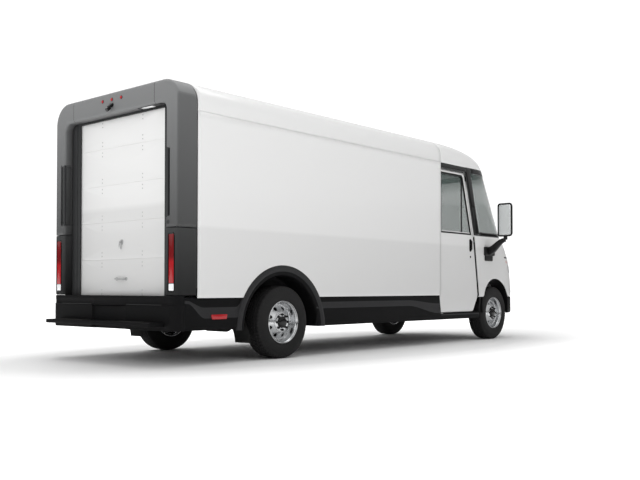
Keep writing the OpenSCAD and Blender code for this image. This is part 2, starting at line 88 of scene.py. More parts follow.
D = measured()
ARCH_R, ARCH_Z = 0.70, 0.325            # rear arch: radius of the body's edge and height of its middle
PILLAR_W = 0.150                        # width of a windscreen pillar, along the body
MIRROR_H = 0.500                        # height of a mirror's housing
WALL_X, WALL_Y, DOME_R = 20, 22, 150    # stage: half widths of the far wall, radius of the backdrop


# ---------- sizes and colours ----------

class TruckSkinSettings(PropertyGroup):
    """Sizes and colours of the painted body."""
    paint: FloatVectorProperty(name="Body paint", description="Colour of the body's paint",
                               default=(0.80, 0.80, 0.797), size=3, subtype="COLOR", min=0, max=1)
    door_paint: FloatVectorProperty(name="Door paint", description="Colour of the roll-up door",
                                    default=(0.83, 0.83, 0.825), size=3, subtype="COLOR", min=0, max=1)
    roof_radius: FloatProperty(name="Roof radius", description="Radius of the roof edges seen from behind",
                               default=0.23, min=0.05, max=0.4, subtype="DISTANCE", unit="LENGTH")
    nose_depth: FloatProperty(name="Nose depth", description="Length over which the front corners round off",
                              default=0.56, min=0.2, max=0.9, subtype="DISTANCE", unit="LENGTH")
    nose_power: FloatProperty(name="Nose fullness",
                              description="Exponent of the front's outline seen from above",
                              default=2.7, min=2.0, max=5.0)
    skin: FloatProperty(name="Skin thickness", description="Thickness of the shown skins",
                        default=0.016, min=0.004, max=0.03, subtype="DISTANCE", unit="LENGTH")


class TruckTrimSettings(PropertyGroup):
    """Sizes and colours of the mouldings, lamps and glass."""
    portal: FloatVectorProperty(name="Portal", description="Colour of the portal around the rear door",
                                default=(0.115, 0.117, 0.118), size=3, subtype="COLOR", min=0, max=1)
    cladding: FloatVectorProperty(name="Cladding", description="Colour of the skirts and bumpers",
                                  default=(0.006, 0.006, 0.0064), size=3, subtype="COLOR", min=0, max=1)
    lens: FloatVectorProperty(name="Lamp red", description="Colour of the red lenses",
                              default=(0.36, 0.008, 0.012), size=3, subtype="COLOR", min=0, max=1)
    glass: FloatVectorProperty(name="Glass tint", description="Tint of the cab's glass",
                               default=(0.075, 0.12, 0.105), size=3, subtype="COLOR", min=0, max=1)
    portal_fillet: FloatProperty(name="Portal fillet",
                                 description="Radius between the portal's rear face and sides",
                                 default=0.034, min=0.01, max=0.15, subtype="DISTANCE", unit="LENGTH")
    opening_half: FloatProperty(name="Opening half-width", description="Half the width of the rear opening",
                                default=0.90, min=0.6, max=1.0, subtype="DISTANCE", unit="LENGTH")
    opening_top: FloatProperty(name="Opening top", description="Height of the rear opening's top",
                               default=2.62, min=2.0, max=2.8, subtype="DISTANCE", unit="LENGTH")
    opening_radius: FloatProperty(name="Opening corner",
                                  description="Radius of the rear opening's top corners",
                                  default=0.09, min=0.02, max=0.2, subtype="DISTANCE", unit="LENGTH")
    bolt_x: FloatProperty(name="Bolt column",
                          description="Distance of the door's bolt columns from its middle",
                          default=0.358, min=0.1, max=0.7, subtype="DISTANCE", unit="LENGTH")


class TruckWheelSettings(PropertyGroup):
    """Sizes of the tyres and rims."""
    rim_radius: FloatProperty(name="Rim radius", description="Radius of the rim flange",
                              default=0.231, min=0.15, max=0.3, subtype="DISTANCE", unit="LENGTH")
    groove: FloatProperty(name="Groove depth", description="Depth of the tread's grooves",
                          default=0.010, min=0.0, max=0.02, subtype="DISTANCE", unit="LENGTH")
    lugs: IntProperty(name="Tread lugs", description="Tread blocks round the tyre", default=60, min=20,
                      max=90)
    holes: IntProperty(name="Hand holes", description="Hand holes in a rim", default=8, min=4, max=12)


class TruckStudioSettings(PropertyGroup):
    """Camera and light."""
    lens: FloatProperty(name="Lens", description="Focal length of the camera in millimetres", default=46.53,
                        min=20, max=120)
    shift: FloatProperty(name="Shift", description="Upward shift of the camera's frame", default=0.0487,
                         min=-0.2, max=0.2)
    sky: FloatProperty(name="Sky", description="Brightness of the studio round the truck", default=0.72,
                       min=0.1, max=3.0)
    key: FloatProperty(name="Key light", description="Power of the soft light above, in watts", default=420.0,
                       min=0, max=5000)


# ---------- shader tools ----------

class Signal:
    """A node's output that takes part in Python arithmetic: each operator adds a Math node."""

    def __init__(self, finish, socket):
        self.finish, self.socket = finish, socket

    def _math(self, kind, *terms):
        return self.finish.node("ShaderNodeMath", {"operation": kind}, dict(enumerate(terms)))

    def __add__(self, other): return self._math("ADD", self, other)
    def __radd__(self, other): return self._math("ADD", other, self)
    def __sub__(self, other): return self._math("SUBTRACT", self, other)
    def __rsub__(self, other): return self._math("SUBTRACT", other, self)
    def __mul__(self, other): return self._math("MULTIPLY", self, other)
    def __rmul__(self, other): return self._math("MULTIPLY", other, self)
    def __truediv__(self, other): return self._math("DIVIDE", self, other)
    def __gt__(self, other): return self._math("GREATER_THAN", self, other)
    def __lt__(self, other): return self._math("LESS_THAN", self, other)
    def __abs__(self): return self._math("ABSOLUTE", self)
    def sin(self): return self._math("SINE", self)


class Finish:
    """One material and the ways to add nodes to it."""

    def __init__(self, name):
        self.material = bpy.data.materials.new(name)
        self.material.use_nodes = True
        self.tree = self.material.node_tree
        self.tree.nodes.clear()
        self.shader = self.tree.nodes.new("ShaderNodeBsdfPrincipled")
        out = self.tree.nodes.new("ShaderNodeOutputMaterial")
        self.tree.links.new(self.shader.outputs[0], out.inputs["Surface"])

    def put(self, socket, value):
        """Sets a socket's number, or links a signal to it."""
        if isinstance(value, Signal):
            self.tree.links.new(value.socket, socket)
        else:
            socket.default_value = value

    def node(self, kind, settings=None, sockets=None, output=0):
        """Adds any node: its settings first, then the values or links of its sockets."""
        made = self.tree.nodes.new(kind)
        for key, value in (settings or {}).items():
            if key == "stops":
                ramp = made.color_ramp
                for (place, grey), element in zip(value, list(ramp.elements)):
                    element.position, element.color = place, (grey, grey, grey, 1)
            else:
                setattr(made, key, value)
        for key, value in (sockets or {}).items():
            self.put(made.inputs[key], value)
        return Signal(self, made.outputs[output])

    def spot(self):
        return self.node("ShaderNodeTexCoord", output="Object")

    def axes(self):
        """The X, Y and Z of the point, in metres."""
        made = self.node("ShaderNodeSeparateXYZ", sockets={0: self.spot()})
        outs = made.socket.node.outputs
        return Signal(self, outs[0]), Signal(self, outs[1]), Signal(self, outs[2])

    def noise(self, scale, detail=4.0, rough=0.55):
        return self.node("ShaderNodeTexNoise", None,
                         {"Vector": self.spot(), "Scale": scale, "Detail": detail, "Roughness": rough}, "Fac")

    def ramp(self, signal, low, high):
        """0 below low, 1 above high, and a straight slope between them."""
        return self.node("ShaderNodeMapRange", None, {"Value": signal, "From Min": low, "From Max": high})

    def mix(self, mask, first, second):
        """The first colour where the mask is 0, the second where it is 1."""
        made = self.node("ShaderNodeMix", {"data_type": "RGBA"}).socket.node
        self.put(made.inputs[0], mask)
        self.put(made.inputs[6], first if isinstance(first, Signal) else (*first, 1))
        self.put(made.inputs[7], second if isinstance(second, Signal) else (*second, 1))
        return Signal(self, made.outputs[2])

    def bump(self, height, distance, strength=1.0):
        self.put(self.shader.inputs["Normal"], self.node(
            "ShaderNodeBump", None, {"Strength": strength, "Distance": distance, "Height": height}))

    def set(self, **values):
        """Sets the shader's sockets: base_color, roughness and so on."""
        for key, value in values.items():
            name = {"ior": "IOR", "coat_weight": "Coat Weight", "coat_roughness": "Coat Roughness",
                    "base_color": "Base Color", "emission": "Emission Color",
                    "emission_strength": "Emission Strength", "sheen": "Sheen Weight",
                    "specular": "Specular IOR Level"}.get(key, key.capitalize())
            if isinstance(value, tuple) and len(value) == 3:
                value = (*value, 1)
            self.put(self.shader.inputs[name], value)
        return self


def shade(color, k):
    return tuple(min(1.0, c * k) for c in color)


def make_finishes():
    """Every finish of the truck, by name."""
    skin, trim = bpy.context.scene.truck_skin, bpy.context.scene.truck_trim
    made = {}

    def new(name):
        made[name] = Finish(name)
        return made[name]

    white = tuple(skin.paint)
    f = new("body_white")
    haze = f.noise(0.7, 3.0)
    x, y, z = f.axes()
    # painted shade: the paint is darker below a level line at about 1.39 m and darker towards the front; the
    # noise only varies the tone at random
    below = 1 - f.ramp(z, 1.37, 1.41)
    ahead = 1 - f.ramp(y, -2.2, 3.2)
    f.set(base_color=f.mix(below * 0.36 + ahead * 0.52 + haze * 0.04, white, shade(white, 0.76)),
          roughness=0.30 + haze * 0.08, coat_weight=0.35, coat_roughness=0.06, ior=1.5)
    f.bump(f.noise(160.0, 2.0), 0.0002, 0.05)

    door = tuple(skin.door_paint)
    f = new("door_white")
    haze = f.noise(1.6, 4.0)
    x, y, z = f.axes()
    # painted shade: the door's paint is darker below a level line at about 1.63 m. It also grows darker towards
    # the bottom.
    below = 1 - f.ramp(z, 1.60, 1.66)
    foot = 1 - f.ramp(z, 0.7, 1.5)
    f.set(base_color=f.mix(haze * 0.06 + below * 0.42 + foot * 0.20, door, shade(door, 0.72)),
          roughness=0.30 + f.noise(14.0, 5.0) * 0.12, coat_weight=0.35, ior=1.5)
    f.bump(f.noise(240.0, 2.0), 0.0004, 0.15)

    grey = tuple(trim.portal)
    f = new("portal_grey")
    x, y, z = f.axes()
    # painted reflection: the portal's grey grows lighter towards the top
    rise = f.ramp(z, 1.2, 2.9)
    grain = f.noise(420.0, 2.0)
    seam = (abs(abs(x) - 0.72) < 0.0028) * (z > 2.60)
    tone = f.mix(rise, shade(grey, 0.50), shade(grey, 1.85))
    # painted shade: the portal's sides and the reveal round the opening are darker
    flank = f.ramp(abs(x), D.w - 0.020, D.w - 0.006) * (z < 2.7)
    reveal = (1 - f.ramp(y, D.y_door + 0.020, D.y_rear - 0.015)) * (abs(x) < 0.97) * (z < 2.66)
    tone = f.mix(flank * 0.45 + reveal * 0.8, tone, shade(grey, 0.25))
    tone = f.mix(f.noise(2.2, 4.0) * 0.10, tone, shade(grey, 1.5))
    f.set(base_color=f.mix(seam, tone, shade(grey, 0.12)), roughness=0.42 + grain * 0.12, specular=0.30)
    f.bump(grain * 0.6 - seam * 4.0, 0.0005, 0.35)

    f = new("cover_grey")
    x, y, z = f.axes()
    grain = f.noise(420.0, 2.0)
    # painted shade: the covers' grey is darker towards the bottom
    f.set(base_color=f.mix(f.ramp(z, 0.7, 1.4), shade(grey, 0.10), shade(grey, 0.40)),
          roughness=0.40 + grain * 0.14, specular=0.16)
    f.bump(grain, 0.0005, 0.30)

    black = tuple(trim.cladding)
    f = new("cladding_black")
    x, y, z = f.axes()
    grain = f.noise(380.0, 3.0, 0.6)
    dust = f.noise(3.0, 6.0) * (1 - f.ramp(z, 0.2, 0.75))
    f.set(base_color=f.mix(dust * 0.12, black, shade(black, 2.2)), roughness=0.46 + grain * 0.16,
          specular=0.06)
    f.bump(grain, 0.0006, 0.45)

    # painted sheen: a lighter copy of the cladding black, put on the ridge band of the skirts and rear bumper
    # and on the flares' outer lip
    f = new("cladding_upper")
    grain = f.noise(380.0, 3.0, 0.6)
    f.set(base_color=f.mix(f.noise(2.0), shade(black, 2.6), shade(black, 3.6)), roughness=0.42 + grain * 0.14,
          specular=0.22)
    f.bump(grain, 0.0006, 0.45)

    f = new("trim_black")
    grain = f.noise(500.0, 2.0)
    f.set(base_color=f.mix(f.noise(12.0) * 0.3, shade(black, 0.9), shade(black, 1.5)),
          roughness=0.36 + grain * 0.14, specular=0.22)
    f.bump(grain, 0.0004, 0.30)

    f = new("gloss_black")
    f.set(base_color=f.mix(f.noise(5.0), shade(black, 0.5), shade(black, 0.9)),
          roughness=0.14 + f.noise(30.0) * 0.06, specular=0.30)
    f.bump(f.noise(120.0), 0.0002, 0.08)

    f = new("flap_rubber")
    f.set(base_color=f.mix(f.noise(14.0), (0.009, 0.009, 0.009), (0.018, 0.018, 0.017)),
          roughness=0.72 + f.noise(60.0) * 0.15, specular=0.15)
    f.bump(f.noise(180.0), 0.0006, 0.4)

    f = new("tyre_rubber")
    x, y, z = f.axes()
    dust = f.noise(26.0, 6.0)
    f.set(base_color=f.mix(dust * 0.6, (0.009, 0.009, 0.0095), (0.022, 0.0215, 0.021)),
          roughness=0.62 + dust * 0.18, specular=0.20)
    f.bump(f.noise(320.0, 3.0), 0.0006, 0.5)

    f = new("rim_bright")
    swirl = f.noise(34.0, 3.0)
    fine = f.noise(700.0, 2.0)
    f.set(base_color=f.mix(swirl * 0.5, (0.58, 0.59, 0.60), (0.40, 0.405, 0.41)), metallic=1.0,
          roughness=0.16 + swirl * 0.12, coat_weight=0.3)
    f.bump(fine, 0.0002, 0.15)

    f = new("zinc_steel")
    x, y, z = f.axes()
    streak = f.node("ShaderNodeTexNoise", None, {"Vector": f.node(
        "ShaderNodeMapping", None, {"Vector": f.spot(), "Scale": (8.0, 60.0, 60.0)}),
        "Scale": 6.0, "Detail": 5.0}, "Fac")
    f.set(base_color=f.mix(streak, (0.42, 0.43, 0.44), (0.62, 0.62, 0.61)), metallic=0.85,
          roughness=0.32 + streak * 0.18)
    f.bump(streak, 0.0004, 0.2)

    f = new("jamb_grey")
    f.set(base_color=f.mix(f.noise(8.0), (0.026, 0.027, 0.028), (0.036, 0.037, 0.038)),
          roughness=0.48 + f.noise(60.0) * 0.12, specular=0.25)
    f.bump(f.noise(420.0), 0.0004, 0.3)

    f = new("floor_metal")
    x, y, z = f.axes()
    ribs = (x * 210.0).sin()
    f.set(base_color=f.mix(f.noise(20.0), (0.36, 0.36, 0.37), (0.5, 0.5, 0.5)), metallic=0.8,
          roughness=0.38 + f.noise(40.0) * 0.2)
    f.bump(ribs, 0.0015, 0.4)

    f = new("frame_black")
    rust = f.ramp(f.noise(18.0, 8.0), 0.60, 0.74)
    f.set(base_color=f.mix(rust * 0.5, (0.018, 0.018, 0.019), (0.07, 0.05, 0.04)),
          roughness=0.50 + f.noise(40.0) * 0.25, ior=1.5)
    f.bump(f.noise(90.0, 5.0), 0.0008, 0.4)

    f = new("battery_case")
    x, y, z = f.axes()
    f.set(base_color=f.mix(f.noise(10.0), (0.030, 0.030, 0.032), (0.055, 0.055, 0.058)),
          roughness=0.55 + f.noise(50.0) * 0.2, ior=1.5)
    f.bump((y * 42.0).sin(), 0.004, 0.35)

    red = tuple(trim.lens)
    f = new("red_lens")
    x, y, z = f.axes()
    prism = (z * 900.0).sin() * (x * 900.0).sin()
    dim = f.ramp(z, 1.03, 1.08) * (z < 2.0)
    # the lens glows faintly; the side reflectors share this finish, so they glow too though they are no lamp:
    # painted glow
    f.set(base_color=f.mix(dim, red, shade(red, 0.45)), roughness=0.10 + abs(prism) * 0.08,
          coat_weight=0.3, emission=f.mix(dim, shade(red, 0.6), shade(red, 0.10)),
          emission_strength=0.15, specular=0.25)
    f.bump(prism, 0.0005, 0.25)

    f = new("clear_lens")
    x, y, z = f.axes()
    prism = (z * 700.0).sin()
    f.set(base_color=f.mix(abs(prism), (0.78, 0.79, 0.80), (0.9, 0.91, 0.92)),
          roughness=0.08 + abs(prism) * 0.08, coat_weight=0.8, emission=(0.8, 0.8, 0.8),
          emission_strength=0.15, ior=1.5)
    f.bump(prism, 0.0006, 0.25)

    tint = tuple(trim.glass)
    f = new("cab_glass")
    x, y, z = f.axes()
    band = f.ramp(z, 2.30, 2.50)
    f.set(base_color=f.mix(band, tint, shade(tint, 0.4)), roughness=0.03 + f.noise(2.0) * 0.02,
          alpha=0.33 + band * 0.30, coat_weight=0.5, ior=1.52)
    f.bump(f.noise(1.5, 1.0), 0.0005, 0.05)

    f = new("mirror_glass")
    f.set(base_color=f.mix(f.noise(2.0), (0.74, 0.76, 0.76), (0.80, 0.82, 0.82)), metallic=0.15,
          roughness=0.12 + f.noise(3.0) * 0.05)
    f.bump(f.noise(2.0, 1.0), 0.0005, 0.05)

    f = new("dash_plastic")
    grain = f.node("ShaderNodeTexVoronoi", None, {"Vector": f.spot(), "Scale": 420.0})
    f.set(base_color=f.mix(f.noise(10.0), (0.045, 0.045, 0.047), (0.075, 0.075, 0.078)),
          roughness=0.55 + grain * 0.2, ior=1.5)
    f.bump(grain, 0.0005, 0.4)

    f = new("wall_panel")
    f.set(base_color=f.mix(f.noise(3.0), (0.30, 0.305, 0.31), (0.38, 0.385, 0.39)),
          roughness=0.5 + f.noise(40.0) * 0.15, ior=1.5)
    f.bump(f.noise(240.0), 0.0004, 0.3)

    f = new("seat_fabric")
    x, y, z = f.axes()
    weave = (x * 2600.0).sin() * ((y + z) * 2600.0).sin()
    f.set(base_color=f.mix(abs(weave), (0.022, 0.023, 0.026), (0.055, 0.056, 0.060)),
          roughness=0.82 + abs(weave) * 0.1, sheen=0.35, ior=1.45)
    f.bump(weave, 0.0006, 0.5)

    f = new("marker_pink")
    f.set(base_color=f.mix(f.noise(60.0), (0.62, 0.30, 0.27), (0.70, 0.36, 0.32)),
          roughness=0.2 + f.noise(80.0) * 0.1, coat_weight=0.6, ior=1.5)
    return {name: made[name].material for name in made}


FINISHES = {}


# ---------- surface tools ----------

class Skin:
    """Gathers surfaces, each an array of points over two parameters, and makes them one mesh."""

    def __init__(self):
        self.points, self.faces, self.marks, self.count = [], [], [], 0

    def add(self, grid, wrap_rows=False, wrap_columns=False, away=None, mark=0):
        """grid[i, j] is the point at the i-th and j-th parameter. Faces turn away from the
        point 'away', summed over the surface, so that one sign serves the whole grid."""
        grid = np.asarray(grid, float)
        n, m = grid.shape[:2]
        index = np.arange(n * m).reshape(n, m)
        if wrap_rows:
            index = np.concatenate([index, index[:1]], 0)
        if wrap_columns:
            index = np.concatenate([index, index[:, :1]], 1)
        quads = np.stack([index[:-1, :-1], index[1:, :-1], index[1:, 1:], index[:-1, 1:]], -1).reshape(-1, 4)
        flat = grid.reshape(-1, 3)
        a, b, c, d = (flat[quads[:, k]] for k in range(4))
        normal = np.cross(c - a, d - b)
        centre = (a + b + c + d) / 4
        origin = flat.mean(0) if away is None else np.asarray(away, float)
        if np.sum(normal * (centre - origin)) < 0:
            quads = quads[:, ::-1]
        self.points.append(flat)
        self.faces.append(quads + self.count)
        self.marks.append(np.full(len(quads), mark))
        self.count += len(flat)
        return self

    def build(self, name, body, finishes, slot, stands_for=(), weld=2e-5, sharp=34.0, wall=0.0):
        """Makes the mesh, welds seams and poles, shades it smooth up to an angle, and gives it
        its finishes, body and the nodes that it stands for. The slot is not used."""
        mesh = bpy.data.meshes.new(name)
        quads = np.concatenate(self.faces)
        mesh.from_pydata(np.concatenate(self.points).tolist(), [], quads.tolist())
        mesh.polygons.foreach_set("material_index", np.concatenate(self.marks).astype(np.int32))
        work = bmesh.new()
        work.from_mesh(mesh)
        bmesh.ops.remove_doubles(work, verts=work.verts, dist=weld)
        bmesh.ops.dissolve_degenerate(work, edges=work.edges, dist=weld / 2)
        work.to_mesh(mesh)
        work.free()
        for finish in finishes:
            mesh.materials.append(FINISHES[finish])
        mesh.shade_smooth()
        mesh.set_sharp_from_angle(angle=math.radians(sharp))
        made = bpy.data.objects.new(name, mesh)
        bpy.context.scene.collection.objects.link(made)
        if wall:
            solid = made.modifiers.new("wall", "SOLIDIFY")
            solid.thickness, solid.offset = wall, -1
        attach(made, body)
        if stands_for:
            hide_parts(*stands_for)
        return made


def line(first, last, n):
    return np.linspace(first, last, n)


def eased(t):
    """3t2 - 2t3 between 0 and 1."""
    t = np.clip(t, 0, 1)
    return t * t * (3 - 2 * t)


def rounded_loop(corners, radii, per=8):
    """A closed polygon with each corner swapped for an arc that is tangent to both its sides:
    quadratic blend (1-t)2 A + 2t(1-t) C + t2 B between the points a radius away on each side."""
    p = np.asarray(corners, float)
    radii = np.broadcast_to(np.asarray(radii, float), (len(p),))
    back, ahead = np.roll(p, 1, 0) - p, np.roll(p, -1, 0) - p
    back /= np.linalg.norm(back, axis=1, keepdims=True)
    ahead /= np.linalg.norm(ahead, axis=1, keepdims=True)
    t = line(0, 1, per)[None, :, None]
    a, b = (p + back * radii[:, None])[:, None], (p + ahead * radii[:, None])[:, None]
    arc = (1 - t) ** 2 * a + 2 * t * (1 - t) * p[:, None] + t ** 2 * b
    return arc.reshape(-1, 2)


def resampled(loop, n, closed=True):
    """The loop's points spread evenly along its length."""
    loop = np.asarray(loop, float)
    if closed:
        loop = np.concatenate([loop, loop[:1]])
    run = np.concatenate([[0], np.cumsum(np.linalg.norm(np.diff(loop, axis=0), axis=1))])
    at = line(0, run[-1], n + 1)[:-1] if closed else line(0, run[-1], n)
    return np.stack([np.interp(at, run, loop[:, k]) for k in range(loop.shape[1])], -1)


def slab(loop, plane, low, high, edge=0.004, steps=4):
    """A plate: the loop pulled along an axis from low to high, its rims rounded by a quarter
    circle of radius edge that shrinks the loop towards its middle, and its two ends closed.
    plane is 'x', 'y' or 'z', the axis it is pulled along."""
    loop = np.asarray(loop, float)
    middle = (loop.max(0) + loop.min(0)) / 2
    half = np.maximum((loop.max(0) - loop.min(0)) / 2, 1e-6)
    q = line(0, math.pi / 2, steps)
    inset = np.concatenate([[1e9], edge * (1 - np.sin(q)), edge * (1 - np.cos(q)), [1e9]])
    height = np.concatenate([[low], low + edge * (1 - np.cos(q)), high - edge * (1 - np.sin(q)), [high]])
    scale = np.maximum(0, 1 - inset[:, None] / half)
    flat = middle + (loop - middle)[None] * scale[:, None, :]
    h = np.broadcast_to(height[:, None], flat.shape[:2])
    order = {"x": (h, flat[..., 0], flat[..., 1]), "y": (flat[..., 0], h, flat[..., 1]),
             "z": (flat[..., 0], flat[..., 1], h)}[plane]
    return np.stack(order, -1)


def box_loop(x0, x1, z0, z1, r, per=6):
    return rounded_loop([(x0, z0), (x1, z0), (x1, z1), (x0, z1)], r, per)


def turned(profile, centre, axis="x", n=48, start=0.0, stop=2 * math.pi):
    """A profile of (distance along the axis, radius) turned about an axis through centre:
    the point at angle a is centre + along + radius (cos a, sin a) across the axis."""
    profile = np.asarray(profile, float)
    full = stop - start > 2 * math.pi - 1e-6
    a = line(start, stop, n + 1)[:-1] if full else line(start, stop, n)
    along = np.broadcast_to(profile[:, 0][:, None], (len(profile), len(a)))
    c, s = profile[:, 1][:, None] * np.cos(a), profile[:, 1][:, None] * np.sin(a)
    order = {"x": (along, c, s), "y": (s, along, c), "z": (c, s, along)}[axis]
    return np.stack(order, -1) + np.asarray(centre, float)


def swept(path, loop, up=(0, 0, 1)):
    """A closed loop (side, up) carried along a path: at each point the loop stands square to
    the path's direction, and both ends are closed to their middle."""
    path, loop = np.asarray(path, float), np.asarray(loop, float)
    if loop.ndim == 2:
        loop = np.broadcast_to(loop, (len(path), *loop.shape))
    ahead = np.gradient(path, axis=0)
    ahead /= np.linalg.norm(ahead, axis=1, keepdims=True)
    side = np.cross(ahead, np.asarray(up, float))
    side /= np.linalg.norm(side, axis=1, keepdims=True)
    rise = np.cross(side, ahead)
    ring = path[:, None] + loop[..., :1] * side[:, None] + loop[..., 1:] * rise[:, None]
    first = np.broadcast_to(path[:1, None], ring[:1].shape)
    last = np.broadcast_to(path[-1:, None], ring[:1].shape)
    return np.concatenate([first, ring, last], 0)


def both_sides(grid):
    """The grid and its mirror image across the truck's middle."""
    return grid, grid * np.array([-1.0, 1.0, 1.0])


# ---------- shapes shared by the body ----------

def half_width(z):
    """Half the body's width at height z: full up to the roof arc, then the arc's own width."""
    r = bpy.context.scene.truck_skin.roof_radius
    rise = np.clip(z - (D.top - r), 0, r)
    return D.w - r + np.sqrt(np.maximum(r * r - rise * rise, 0))


def screen_y(z):
    """Straight line of the windscreen from the cowl to the roof."""
    foot, head = D.y_front + 0.35, D.y_front + 0.89
    return foot + (head - foot) * (z - D.cowl) / (D.crease - D.cowl)


def nose_y(z):
    """Middle line of the front: a leaning nose, a rounded hood that runs back to the cowl, the
    windscreen's straight line, and a quarter of an ellipse up to the flat roof."""
    z = np.asarray(z, float)
    low = D.y_front + 0.115 * np.clip((z - D.nose_top) / (1.30 - D.nose_top), 0, 1) ** 1.6
    hood = (0.35 - 0.115) * np.clip((z - 1.18) / (D.cowl - 1.18), 0, 1) ** 1.7
    roof = D.y_front + 2.06 - 1.19 * np.sqrt(np.maximum(1 - ((z - 2.45) / (D.top - 2.45)) ** 2, 0))
    return np.where(z <= D.cowl, low + hood, np.where(z <= D.crease, screen_y(z), roof))


def plan_point(a, z, inset=0.0):
    """Outline of the cab from above at height z. a runs from -1 at the truck's right rear,
    through 0 at the middle of the front, to 1 at the left rear. The front third is a
    superellipse |x/h|^p + |d/depth|^p = 1, and straight sides follow it."""
    skin = bpy.context.scene.truck_skin
    a, z = np.broadcast_arrays(np.asarray(a, float), np.asarray(z, float))
    t = line(0, math.pi / 2, 400)
    power = 2 / skin.nose_power
    sx, sy = np.sin(t) ** power, 1 - np.cos(t) ** power
    run = np.concatenate([[0], np.cumsum(np.hypot(np.diff(sx), 0.55 * np.diff(sy)))])
    run /= run[-1]
    bend = 0.55
    u = np.clip(np.abs(a) / bend, 0, 1)
    x = np.interp(u, run, sx) * (half_width(z) - inset) * np.sign(a + 1e-12)
    front = nose_y(z) + inset
    y = front + np.interp(u, run, sy) * skin.nose_depth
    back = np.clip((np.abs(a) - bend) / (1 - bend), 0, None)
    return x, y + back * 2.2, z


def plan_at(y, z):
    """The outline parameter at which the side reaches a given y, behind the round corner."""
    skin = bpy.context.scene.truck_skin
    return 0.55 + 0.45 * (y - nose_y(z) - skin.nose_depth) / 2.2


def door_front(z):
    """Front edge of the cab door: leaning forward below, back along the windscreen above."""
    lead = D.y_open - 0.92
    return np.interp(z, [D.door_low, 0.66, D.cowl, D.door_top],
                     [lead + 0.01, lead - 0.13, lead, lead + 0.25])


def arch_floor(y, middle, height, radius, low):
    """Lower edge of a skin over a wheel: the arc where the wheel is, else the level low."""
    rise = np.sqrt(np.maximum(radius ** 2 - (y - middle) ** 2, 0))
    return np.maximum(low, np.where(rise > 0, height + rise, low))


def columns(first, last, n, *extra):
    """Evenly spaced places with extra ones at the ends of an arc, in order."""
    return np.unique(np.concatenate([line(first, last, n), *[np.asarray(e, float) for e in extra]]))


# ---------- operators ----------

class TruckOperator:
    """Shared by the operators: runs make() and reports a missing finish as an error."""

    def execute(self, context):
        if not FINISHES:
            raise RuntimeError("run truck.finishes first")
        self.make()
        return {"FINISHED"}


class TRUCK_OT_finishes(Operator):
    """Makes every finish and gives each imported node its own"""
    bl_idname = "truck.finishes"
    bl_label = "Finishes"

    def execute(self, context):
        FINISHES.update(make_finishes())
        by_slot = {"lamp_lens": "clear_lens", "screen_glass": "cab_glass"}
        slots = {part["node"]: part["material_slot"] for part in frame["record"]["subparts"]}
        for name, node in frame["nodes"].items():
            finish = by_slot.get(slots[name], slots[name])
            if name == "bulkhead":
                finish = "wall_panel"
            if finish not in FINISHES:
                raise RuntimeError("no finish for " + name)
            node.data.materials.clear()
            node.data.materials.append(FINISHES[finish])
        return {"FINISHED"}


class TRUCK_OT_body(TruckOperator, Operator):
    """Builds the cargo body's sides and roof as one skin over the wheels"""
    bl_idname = "truck.body"
    bl_label = "Cargo body"

    def make(self):
        r = bpy.context.scene.truck_skin.roof_radius
        skin = Skin()
        arc = math.sqrt(ARCH_R ** 2 - (D.sill - ARCH_Z) ** 2)
        turn = line(0, math.pi, 61)
        y = columns(D.y_open, D.y_portal - 0.004, 90, D.y_ra - arc * np.cos(turn),
                    [D.y_ra - arc, D.y_ra + arc])
        low = arch_floor(y, D.y_ra, ARCH_Z, ARCH_R, D.sill)
        # side: from the lower edge up to the crease, with the edge turned in
        s = np.concatenate([[-0.02, -0.012, -0.004], [0.0, 0.006, 0.014], line(0.03, 1, 24)])
        z = low[:, None] + np.maximum(s, 0) * (D.crease - 0.004 - low[:, None])
        tuck = np.interp(s, [-0.02, -0.004, 0.0, 0.006, 0.014], [0.008, 0.006, 0.004, 0.001, 0.0])
        x = D.w - np.broadcast_to(tuck, z.shape)
        side = np.stack([x, np.broadcast_to(y[:, None], z.shape), z], -1)
        for grid in both_sides(side):
            skin.add(grid, away=(0, 0.9, 1.6))
        # roof: a shallow seam groove, the edge arc, and the nearly flat top
        y = columns(D.y_open, D.y_portal - 0.004, 60)
        groove = [(D.w - 0.005, D.crease - 0.004), (D.w - 0.006, D.crease + 0.001),
                  (D.w - 0.001, D.crease + 0.005),
                  (D.w, D.crease + 0.010)]
        q = line(0, math.pi / 2, 22)
        bend = np.stack([D.w - r + r * np.cos(q), D.top - r + r * np.sin(q)], -1)
        half = np.concatenate([groove, bend, [(D.w - r - 0.3, D.top), (0.25, D.top)]])
        section = np.concatenate([half, half[::-1] * [-1, 1]])
        grid = np.stack([np.broadcast_to(section[:, 0], (len(y), len(section))),
                         np.broadcast_to(y[:, None], (len(y), len(section))),
                         np.broadcast_to(section[:, 1], (len(y), len(section)))], -1)
        skin.add(grid, away=(0, 0.9, 1.6))
        skin.build("cargo_body_skin", "truck_body", ["body_white"], "body_white",
                   ("body_side_left", "body_side_right", "roof_shell"),
                   wall=bpy.context.scene.truck_skin.skin / 2)


